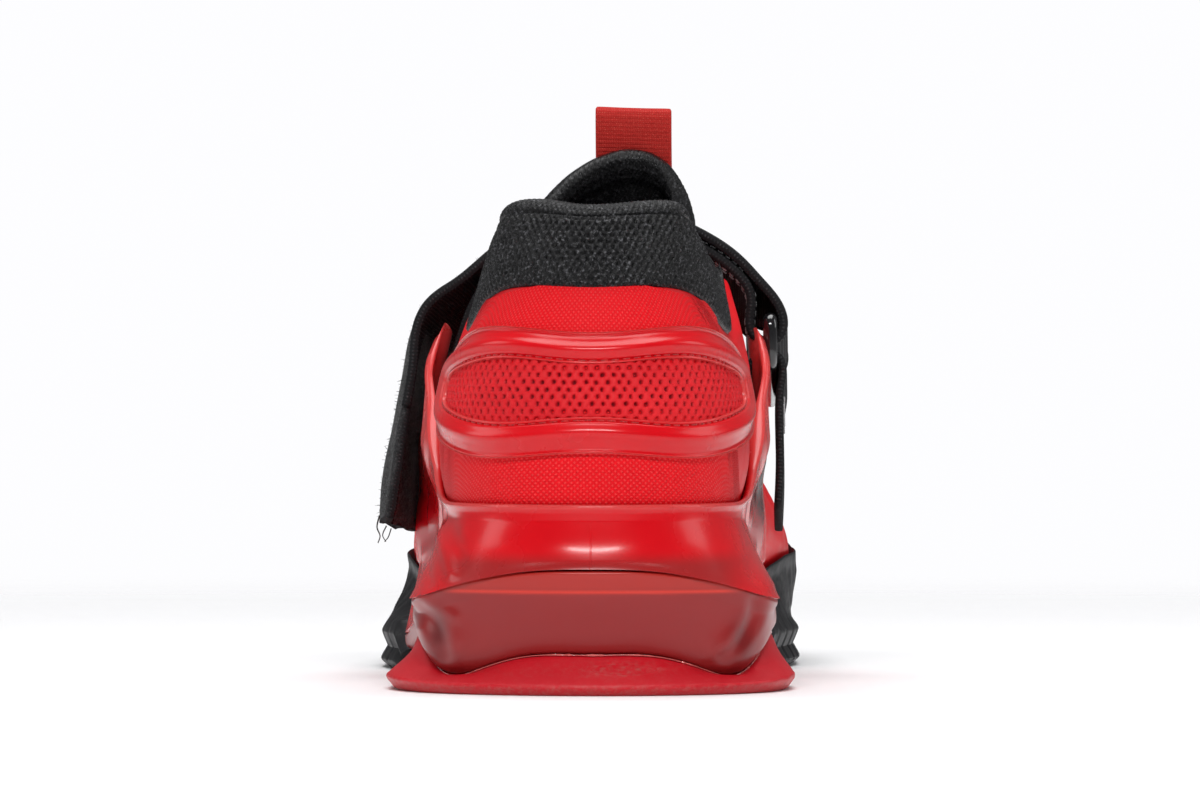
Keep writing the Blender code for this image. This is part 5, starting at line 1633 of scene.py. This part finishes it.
def cage_grid(angle):
    """Sections of the cage: foot, outer wall, lip and inner wall, with their marks."""
    along = RIM.along(angle)
    rim, seat = RIM.points(angle), SEAT.points(angle)
    feather = LAST.point(angle, 0.0)[..., 2]
    base = beside_last(angle, seat[..., 2] + SEAT_GAP, SEAT_GAP)
    lifted = np.array([0, 0, SEAT_GAP])
    front = along > WEDGE_FRONT
    height = np.maximum(rim[..., 2], rubber_top(along)) + SEAT_GAP
    base = np.where(front[:, None], beside_last(angle, height, SEAT_GAP), base)
    seat = np.where(front[:, None], beside_last(angle, height, SEAT_GAP + 1.2), seat + lifted)
    rim = np.where(front[:, None], beside_last(angle, height, SEAT_GAP + 2.6), rim + lifted)
    bottom = rim[..., 2]
    top = cage_top(along)
    smooth_from = feather + 9.0
    wall_foot = LAST.at_height(angle, smooth_from)
    level_out = outwards(angle, smooth_from)
    foot_wall = np.sum((rim - wall_foot) * level_out, -1) - SEAT_GAP
    cup_top = np.minimum(cage_top(0.0), top)
    share = np.concatenate([np.linspace(0, 1, 80)[:-1] ** 1.15, [1.0]])[None, :]
    level = bottom[:, None] + (top - bottom)[:, None] * share
    stand = stand_off(along[:, None], level)
    flare = np.clip(1 - (level - bottom[:, None]) / (cup_top - bottom)[:, None], 0, 1)
    wall = CAGE_WALL_TOP + (foot_wall[:, None] - CAGE_WALL_TOP) * flare**CAGE_FLARE
    # the lip is rounded over, and rolls outwards a little
    near_top = np.clip((level - (top[:, None] - CAGE_LIP)) / CAGE_LIP, 0, 1)
    rounding = (1 - np.sqrt(1 - np.minimum(near_top, 0.98) ** 2)) * CAGE_LIP
    roll = 0.3 * ease(level, top[:, None] - 2.2, top[:, None] - 0.6)
    outer = beside_wall(angle, level, SEAT_GAP + stand + wall + roll - rounding, smooth_from)
    # behind, the wing's root fills the space to the shell
    root = 1 - ease(level, 56, 70) * ease(along[:, None], 76, 90)
    inner_level = np.maximum(level, feather[:, None])
    inner_stand = SEAT_GAP + stand * (1 - root) + 0.6 * rounding
    inner = beside_last(angle[:, None], inner_level, inner_stand)
    grid = np.concatenate([np.stack([base, seat], 1), outer, inner[:, ::-1][:, ::8]], 1)
    return grid, outer.shape[1], top[:, None] - level, level


def beside_wall(angle, height, out, smooth_from):
    """Points outside the last, straight down where it turns in to the feather edge."""
    start = smooth_from[:, None]
    upper = LAST.at_height(angle[:, None], np.maximum(height, start), 0.0)
    point = upper + out[..., None] * outwards(angle[:, None], np.maximum(height, start))
    point[..., 2] = height
    return point


def stand_off(along, height):
    """How far the wing stands off the shell, to let the strap through."""
    rise = ease(height, WING_ROOT, WING_FULL)
    reach = np.clip((along - 70) / 22, 0, 1) * np.clip((156 - along) / 16, 0, 1)
    front = 0.5 * np.clip((along - 60) / 15, 0, 1)
    edge = 2.6 * ease(height, 62, 82) * ease(along, 84, 97) * ease(along, 114, 106)
    return WING_STAND_OFF * rise * reach + front + edge


# Lines in the mouldings seen from behind, as x and z: line, width, height
CAGE_LINES = (
    (((-41.8, 58), (-40.6, 48), (-38.4, 39), (-35.6, 33), (-34.0, 29)), 1.7, 0.8),
    (((-37.4, 56), (-36.6, 47), (-34.6, 39), (-32.2, 33.5)), 2.2, -0.7),
    (((-44.0, 52), (-43.4, 42), (-41.6, 33), (-40.0, 27)), 1.5, -0.5),
    (((41.6, 52), (41.2, 42), (41.6, 33), (43.4, 26)), 1.8, 0.5),
    (((38.4, 47), (38.0, 40), (38.4, 33), (39.6, 28.5)), 2.0, -0.4),
)
# The same seen from the side, as y and z, on both sides
CAGE_SIDE_LINES = (
    (((60, 50), (72, 42), (88, 36), (110, 33), (134, 30)), 2.8, 0.8),
    (((64, 44), (78, 35), (96, 28.5), (120, 26)), 3.0, -0.6),
    (((84, 62), (92, 50), (104, 43), (122, 41)), 2.6, 0.5),
    (((96, 74), (102, 60), (112, 52), (128, 47)), 2.4, -0.4),
    (((48, 42), (58, 35), (68, 28), (80, 24)), 2.6, -0.4),
)


CAGE_FRONT = 161.0
CAGE_HOLLOW_HEIGHT, CAGE_HOLLOW_DEPTH = 35.7, 0.7


def make_cage():
    """The glossy moulded cage: its flare, creases, mould seam and translucent lip, with painted
    highlights and reflections on the lip, wings and back corners, and painted shade on the
    flare.
    """
    limit = float(RIM.angle_of(CAGE_FRONT))
    even = np.linspace(-limit, limit, 520)
    fine = np.linspace(-0.012, 0.012, 9)
    angle = np.unique(np.concatenate([even, fine]))
    grid, count, down, level = cage_grid(angle % FULL_TURN)
    x, y, z = np.moveaxis(grid, -1, 0)
    wall = slice(2, 2 + count)
    outer = np.zeros(x.shape)
    outer[:, wall] = 1
    clear = outer.copy()
    clear[:, wall] = ease(down, 0.6, 4.0) * ease(level, level[:, :1], level[:, :1] + 2.5)
    rise = np.zeros(x.shape)
    behind = ease(y, 62, 40)
    for line, width, height in CAGE_LINES:
        rise += height * soft_line(x, z, line, width) * behind
    for line, width, height in CAGE_SIDE_LINES:
        rise += height * soft_line(y, z, line, width)
    hollow = bell(z - CAGE_HOLLOW_HEIGHT, 4.5) * ease(np.abs(x), 36, 12) * behind
    rise -= CAGE_HOLLOW_DEPTH * hollow
    rise *= clear
    seam = bell(x, 0.12) * ease(z, 29, 31) * ease(z, 42, 38.5) * behind
    rise += 0.16 * seam * outer
    normal = normals_of(grid)
    out = LAST.at_height(angle, 50.0, 1.0) - LAST.at_height(angle, 50.0)
    facing = np.sum(normal[:, 20] * out, -1)
    if np.median(facing) < 0:
        normal = -normal
    grid = grid + rise[..., None] * normal
    # painted highlight on the lip, partly also the paleness of its thin translucent plastic, and
    # painted reflections on the wings and the back corners
    pale = np.zeros(x.shape)
    wing = ease(y, 40, 88) * ease(z, 44, 60)
    pale[:, wall] = np.maximum(0.6 * ease(down, 1.7, 0.3), 0.5 * wing[:, wall])
    pale[:, 2 + count:] = 0.55 * wing[:, 2 + count:]
    pale = np.maximum(pale, 0.3 * ease(np.abs(x), 37.5, 41.5) * ease(z, 26, 34) * behind)
    # painted shade: the dim brownish flare below the highlight
    painted_shade = 0.8 * ease(z, 35.5, 31.0) * behind * ease(np.abs(x), 41, 30) * outer
    solid("cage_moulding", grid, MOULDED, "red_moulding", "heel_cage",
          marks={"pale": np.clip(pale, 0, 1), "painted_shade": painted_shade})


# The sole pieces' points are joined at this distance, and edges this sharp stay crisp
CRISP = {"weld": 0.01, "sharp": 50}


def sole_sides(profile, last_along, count):
    """Closed sections of a sole piece, up one side and down the other."""
    angle = np.linspace(0, float(RIM.angle_of(last_along)), count)
    medial, lateral = profile(angle), profile(FULL_TURN - angle)
    grid = np.concatenate([medial, lateral[::-1]]).transpose(1, 0, 2)
    grid[-1, :, 1] = last_along
    return grid


# Lines on the heel block seen from behind: line, width, height
BLOCK_LINES = (
    (((-42.5, 23.5), (-39.5, 21.8), (-36.5, 20.4), (-33.0, 18.6)), 1.4, 0.45),
    (((-42.0, 20), (-39.0, 17.5), (-36.6, 14.0), (-35.2, 9.5)), 2.0, -0.8),
    (((-41.8, 15), (-39.8, 11.0), (-37.2, 7.0)), 1.4, 0.3),
    (((42.5, 23), (41.8, 18.5), (38.6, 13), (35.4, 8.5)), 1.6, 0.45),
    (((39.4, 22), (38.6, 17.6), (35.4, 12.6), (31.6, 9.2)), 1.8, -0.7),
    (((36.4, 20.5), (35.4, 16.5), (32.2, 12.4), (28.8, 9.6)), 1.6, 0.3),
)


def make_wedge():
    """The heel block: its ridge, a painted highlight on the edge below it, hanging lobes and
    folded corners, and painted shade in the dimples and low down.
    """
    lift = np.array([0, 0, FIT_GAP / 2])

    def profile(angle):
        core, seam = CORE.points(angle) + lift, SEAM.points(angle) + lift
        low, face = LOW.points(angle), FACE.points(angle)
        rim, seat = RIM.points(angle), SEAT.points(angle)
        seam_a, seam_b = fillet(core, seam, low, 0.9)
        rim_a, rim_b = fillet(face, rim, seat, 0.7)
        face = face + np.array([0, 0, 0.9])
        knots = (core, seam_a, seam_b, low, face, rim_a, rim_b, seat)
        return through(knots, (4, 4, 14, 18, 12, 5, 5), sharp=(4,))

    grid = sole_sides(profile, WEDGE_FRONT, 200)
    x, y, z = np.moveaxis(grid, -1, 0)
    behind = ease(y, 60, 36)
    rise = 1.3 * blob(x, z, (-32.6, 10.5), (5.5, 6.0))
    rise += 1.2 * blob(x, z, (31.6, 10.0), (5.5, 6.0)) - 0.8 * blob(x, z, (0, 16), (26, 5.5))
    for line, width, height in BLOCK_LINES:
        rise += height * soft_line(x, z, line, width)
    rise = rise * behind * ease(z, 3.8, 7.0) * ease(z, 29.5, 26.5)
    side_wave = 0.5 * np.sin(y * 0.16) * ease(y, 40, 60) * ease(y, 142, 130)
    rise += side_wave * ease(z, 9, 13) * ease(z, 22, 18)
    grid = grid + rise[..., None] * outward_sides(grid)
    z = grid[..., 2]
    # painted highlight: a paler band and a bright line on the edge below the ridge
    pale = 0.35 * ease(z, 25.2, 26.2) * ease(np.abs(x), 44, 34) * behind
    edge = bell(z - 25.0, 0.45) * ease(np.abs(x), 40, 30) * behind
    pale = np.clip(pale + edge, 0, 1)
    # painted shade: dark dimples beside the lobes, and darker towards the bottom
    painted_shade = 0.75 * blob(x, z, (-37.6, 14.5), (2.6, 5.5)) + 0.6 * blob(x, z, (36.4, 13), (3, 5))
    painted_shade = np.clip(painted_shade * behind + 0.35 * ease(z, 12, 5) * behind, 0, 1)
    solid("wedge_moulding", grid, BLOCK, "heel_block", "heel_wedge", **CRISP,
          marks={"pale": pale, "painted_shade": painted_shade})


def outward_sides(grid):
    """Level directions away from a sole piece's middle, across each side and the back."""
    normal = normals_of(grid, wrap_columns=True)
    away = grid - (0.0, 60.0, 0.0)
    away[..., 1] = np.minimum(away[..., 1], 0.0)
    away[..., 2] = 0
    flip = np.sign(np.sum(normal * away, -1, keepdims=True))
    return unit(normal * flip * (1, 1, 0.4))


def make_heel_tread():
    """The flared rubber under the heel: a crisp lip, paler below 3 mm and in a streaked patch at
    the back.
    """
    drop = np.array([0, 0, FIT_GAP / 2])

    def profile(angle):
        tread, lip, flare = TREAD.points(angle), LIP.points(angle), FLARE.points(angle)
        seam, core = SEAM.points(angle) - drop, CORE.points(angle) - drop
        inner = tread * (0.86, 1, 1)
        inner[..., 1] = tread[..., 1] + (60 - tread[..., 1]) * 0.1
        tread_a, tread_b = fillet(inner, tread, lip, 0.5)
        lip_a, lip_b = fillet(tread, lip, flare, 0.55)
        seam_a, seam_b = fillet(flare, seam, core, 0.6)
        knots = (tread_a, tread_b, lip_a, lip_b, flare, seam_a, seam_b, core)
        return through(knots, (4, 6, 5, 12, 12, 4, 6), sharp=(3,))

    grid = sole_sides(profile, HEEL_TREAD_FRONT, 190)
    x, y, z = np.moveaxis(grid, -1, 0)
    ragged = 0.12 * np.sin(x * 0.9 + y * 0.5) + 0.1 * np.sin(x * 2.3 - y)
    grid = grid + (ragged * bell(z - 2.6, 1.0))[..., None] * outward_sides(grid) * 0.6
    behind = ease(y, 30, 12)
    gloss = 0.9 * blob(x, z, (8, 6.2), (14, 2.2)) * behind
    gloss += 0.35 * blob(x, z, (-20, 5.6), (10, 1.8)) * behind
    # a paler, streaked colour low on the lip and in a patch at the back
    streaks = 0.6 + 0.4 * np.sin(x * 2.1 + 3 * np.sin(z * 2.3)) * np.sin(x * 0.7 - z)
    lightened = np.clip(0.45 * ease(z, 3.0, 2.0) + 0.9 * gloss * streaks, 0, 1)
    solid("heel_rubber", grid, RED_RUBBER, "red_rubber", "heel_outsole", **CRISP,
          marks={"lightened": lightened, "gloss": np.clip(gloss, 0, 1)})


GLUE_FRONT = 62
GLUE_STEPS = 900


def make_glue():
    """The uneven bead of glue in the seam between the heel block and the rubber."""
    rng = np.random.default_rng(STRAY_SEED + 1)
    reach = float(SEAM.angle_of(GLUE_FRONT))
    angle = np.linspace(-reach, reach, GLUE_STEPS)
    seam = SEAM.points(angle % FULL_TURN)
    away = np.array([0.0, 40.0, 0.0]) - seam
    away[:, 2] = 0
    seam = seam - unit(away) * 0.12
    share = np.linspace(0, 1, GLUE_STEPS)
    grain, patch = [
        np.interp(share, np.linspace(0, 1, n), rng.uniform(0, 1, n)) for n in (260, 40)
    ]
    radius = 0.12 + 0.32 * grain**2 * ease(patch, 0.25, 0.8)
    many("seam_glue", [tube(seam, radius, 7)], GLUE, caps=True)


def forefoot_profile(angle):
    """One side's points of the forefoot tread, from the floor out, up and back in."""
    edge = FOREFOOT_EDGE.points(angle)
    along = edge[..., 1]
    floor, top = tread_height(along), rubber_top(along)
    feather = LAST.point(angle, 0.0)
    low = feather[..., 2]
    base = tread_height(feather[..., 1]) + TREAD_THICKNESS
    out = outwards(angle, low + 1)
    squeeze = np.minimum(1.0, (top - floor - 0.8) / (FOREFOOT_STEPS[-1][1] + 3.0))
    points = []
    inner = edge - 9.0 * out
    inner[..., 2] = floor
    for inset, rise in FOREFOOT_STEPS:
        point = edge - inset * out
        point[..., 2] = floor + rise * squeeze
        points.append(point)
    slope = np.minimum(5.0, (top - base) / 3)
    inner_low = np.where(top > low + 1, low, top - (top - base) / 1.5)
    walls = []
    for height, gap in (
        (top - slope, RUBBER_EDGE + 0.7),
        (top, RUBBER_EDGE),
        (top, 0.0),
        (top * 0.5 + inner_low * 0.5, 0.0),
        (inner_low, 0.0),
        (base, 0.0),
    ):
        walls.append(beside_last(angle, height, RUBBER_GAP + gap))
    floor_a, floor_b = fillet(inner, points[0], points[1], 0.5)
    edge_a, edge_b = fillet(points[0], points[1], points[2], 0.45)
    rib_a, rib_b = fillet(points[2], points[3], points[4], 0.5)
    top_a, top_b = fillet(walls[0], walls[1], walls[2], 0.4)
    knots = (floor_a, floor_b, edge_a, edge_b, points[2], rib_a, rib_b, points[4],
             walls[0], top_a, top_b, walls[3], walls[4], walls[5])
    return through(knots, (3, 6, 4, 6, 6, 4, 5, 16, 6, 4, 4, 4, 3), sharp=(4,))


RUBBER_RIB_PITCH = 7.0
RUBBER_NOTCH_PITCH = 9.0
RUBBER_REAR = 147.5


def make_forefoot_tread():
    """The black rubber under the forefoot, stepped round its side and up the toe."""
    first = float(FOREFOOT_EDGE.angle_of(RUBBER_REAR))
    spread = np.linspace(0, 1, 225)
    angle = first + (HALF_TURN - first) * (0.25 * spread**2 + 0.75 * spread)
    angle[-1] = HALF_TURN - 1e-4
    medial, lateral = forefoot_profile(angle), forefoot_profile(FULL_TURN - angle)
    grid = np.concatenate([medial, lateral[::-1]]).transpose(1, 0, 2)
    grid[0, :, 1] = FOREFOOT_REAR
    x, y, z = np.moveaxis(grid, -1, 0)
    up = z - tread_height(y)
    # low diagonal ribs on the wall, and grainy paler bands at the bottom edge and along a ridge
    # of the steps
    ribs = np.cos(FULL_TURN * (y + 0.8 * z) / RUBBER_RIB_PITCH)
    on_wall = ease(up, 14, 16) * ease(z, rubber_top(y) - 3.0, rubber_top(y) - 6.0)
    rise = 0.35 * ease(ribs, -0.2, 0.5) * on_wall * ease(y, 165, 180)
    notch = -0.5 * ease(np.cos(FULL_TURN * y / RUBBER_NOTCH_PITCH), 0.72, 0.95)
    rise = rise + notch * ease(up, 10.5, 9.5) * ease(up, 1, 2) * ease(y, 152, 160)
    normal = normals_of(grid, wrap_columns=True)
    away = grid - np.array([-2.0, 220.0, 20.0])
    away[..., 1] *= 0.3
    facing = np.sum(normal * away, -1)
    normal = normal * np.where(np.median(facing) > 0, 1.0, -1.0)
    grid = grid + rise[..., None] * normal
    lightened = np.clip(0.8 * ease(up, 2.8, 1.2) + 0.5 * bell(up - 9.6, 1.0), 0, 1)
    solid("forefoot_rubber", grid, BLACK_RUBBER, "black_rubber", "forefoot_outsole", **CRISP,
          marks={"lightened": lightened})


def make_insole():
    """The footbed: a soft-edged pad with a plain knit cover."""
    inset = UPPER_WALL + 0.15
    angle = np.linspace(0, FULL_TURN, 240, endpoint=False)
    edge = FEATHER.points(angle)
    inner = edge - inset * outwards(angle, edge[:, 2] + 1)
    centre_x = Spline((9, 60, 105, 150, 200, 250, 284), (0, 0, -2, -3, -3, 1, 5))
    rows = []
    along = np.clip(inner[:, 1], 24, 268)
    middle = np.stack([centre_x(along), along, inner[:, 2]], -1)
    for share in np.linspace(0, 1, 30):
        point = inner * (1 - share) + middle * share
        distance = share * np.linalg.norm(inner - middle, axis=1)
        cup = 1.6 * ease(distance, 12, 2)
        point[:, 2] += 0.5 + (3.4 + cup) * rounded_edge(distance, 1.5)
        rows.append(point)
    grid = np.array(rows).transpose(1, 0, 2)
    uv = np.concatenate([grid, grid[:1]])[..., :2]
    made = shape("insole_pad", grid, LINING, "insole_cloth", "insole", wrap_rows=True, uv=uv)
    base = made.modifiers.new("pad", "SOLIDIFY")
    base.thickness = 1.5 * MM
    base.offset = -1 if made.data.polygons[0].normal.z > 0 else 1
    settle(made)


def build():
    for make in (make_shell, make_eyelets, make_heel_panel, make_band, make_knit, make_collar,
                 make_gussets, make_tongue, make_strap, make_pull_loop, make_ring,
                 make_ring_tab, make_laces, make_cage, make_wedge, make_heel_tread, make_glue,
                 make_forefoot_tread, make_insole):
        make()
    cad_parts["midsole"].data.materials.clear()
    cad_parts["midsole"].data.materials.append(FOAM)


# ---------------------------------------------------------------- floor, light, camera

CAMERA_PLACE = (0.059, -2.148, 0.088)
CAMERA_AIM = (0.0035, 0.0, 0.070)
LENS = 250.0
FLOOR_HALF = 1.6


def make_stage():
    """A pale floor that melts into the white studio round it."""
    mesh = bpy.data.meshes.new("floor")
    signs = ((-1, -1), (1, -1), (1, 1), (-1, 1))
    corners = [(FLOOR_HALF * x, FLOOR_HALF * y, 0) for x, y in signs]
    mesh.from_pydata(corners, [], [(0, 1, 2, 3)])
    floor = link("floor", mesh)
    paper = Finish("pale_floor", (0.9, 0.9, 0.91), 0.55, Specular_IOR_Level=0.2)
    distance = paper.node("VectorMath", {0: paper.here()}, "Value", operation="LENGTH")
    paper.set("Alpha", paper.window(distance, 0.26, 0.85, 1.0, 0.0))
    mesh.materials.append(paper.material)


def aimed(name, data, place_at, aim):
    """A lamp or camera put in its place and turned towards a point."""
    made = link(name, data)
    made.location = place_at
    made.rotation_euler = (Vector(aim) - Vector(place_at)).to_track_quat("-Z", "Y").to_euler()
    return made


def area_light(name, place_at, aim, size, power):
    lamp = bpy.data.lights.new(name, "AREA")
    lamp.shape = "RECTANGLE"
    lamp.size, lamp.size_y = size
    lamp.energy = power
    aimed(name, lamp, place_at, aim)


def make_lights():
    """A white backdrop with dimmer walls, bright paper below and soft boxes above."""
    world = bpy.data.worlds.new("studio")
    world.use_nodes = True
    tree = world.node_tree
    background = tree.nodes["Background"]
    direction = tree.nodes.new("ShaderNodeTexCoord")
    split = tree.nodes.new("ShaderNodeSeparateXYZ")
    tree.links.new(direction.outputs["Generated"], split.inputs[0])
    below = tree.nodes.new("ShaderNodeMapRange")
    tree.links.new(split.outputs[2], below.inputs["Value"])
    for socket, value in ((1, -0.12), (2, 0.02), (3, PAPER_GLOW), (4, WALL_GLOW)):
        below.inputs[socket].default_value = value
    seen = tree.nodes.new("ShaderNodeLightPath")
    pick = tree.nodes.new("ShaderNodeMix")
    tree.links.new(seen.outputs["Is Camera Ray"], pick.inputs[0])
    tree.links.new(below.outputs[0], pick.inputs[2])
    pick.inputs[3].default_value = 1.0
    tree.links.new(pick.outputs[0], background.inputs["Strength"])
    background.inputs["Color"].default_value = (0.985, 0.985, 1.0, 1.0)
    bpy.context.scene.world = world
    area_light("overhead", (0.0, 0.15, 1.5), (0, 0, 0.0), (1.4, 1.1), 21.0)
    area_light("behind_camera", (0.03, -1.75, 1.25), (0, 0, 0.04), (1.2, 0.2), 29.0)
    area_light("side_left", (-1.5, 0.1, 0.7), (0, 0, 0.06), (0.6, 1.0), 4.0)
    area_light("side_right", (1.5, 0.15, 0.7), (0, 0, 0.06), (0.6, 1.0), 4.0)


PAPER_GLOW = 0.5
WALL_GLOW = 0.16


def make_camera():
    lens = bpy.data.cameras.new("camera")
    lens.lens = LENS
    lens.sensor_width = 36.0
    lens.clip_start, lens.clip_end = 0.1, 50.0
    bpy.context.scene.camera = aimed("camera", lens, CAMERA_PLACE, CAMERA_AIM)


make_camera()
build()
make_stage()
make_lights()
bpy.context.scene.view_settings.view_transform = "Standard"
bpy.context.scene.view_settings.look = "None"
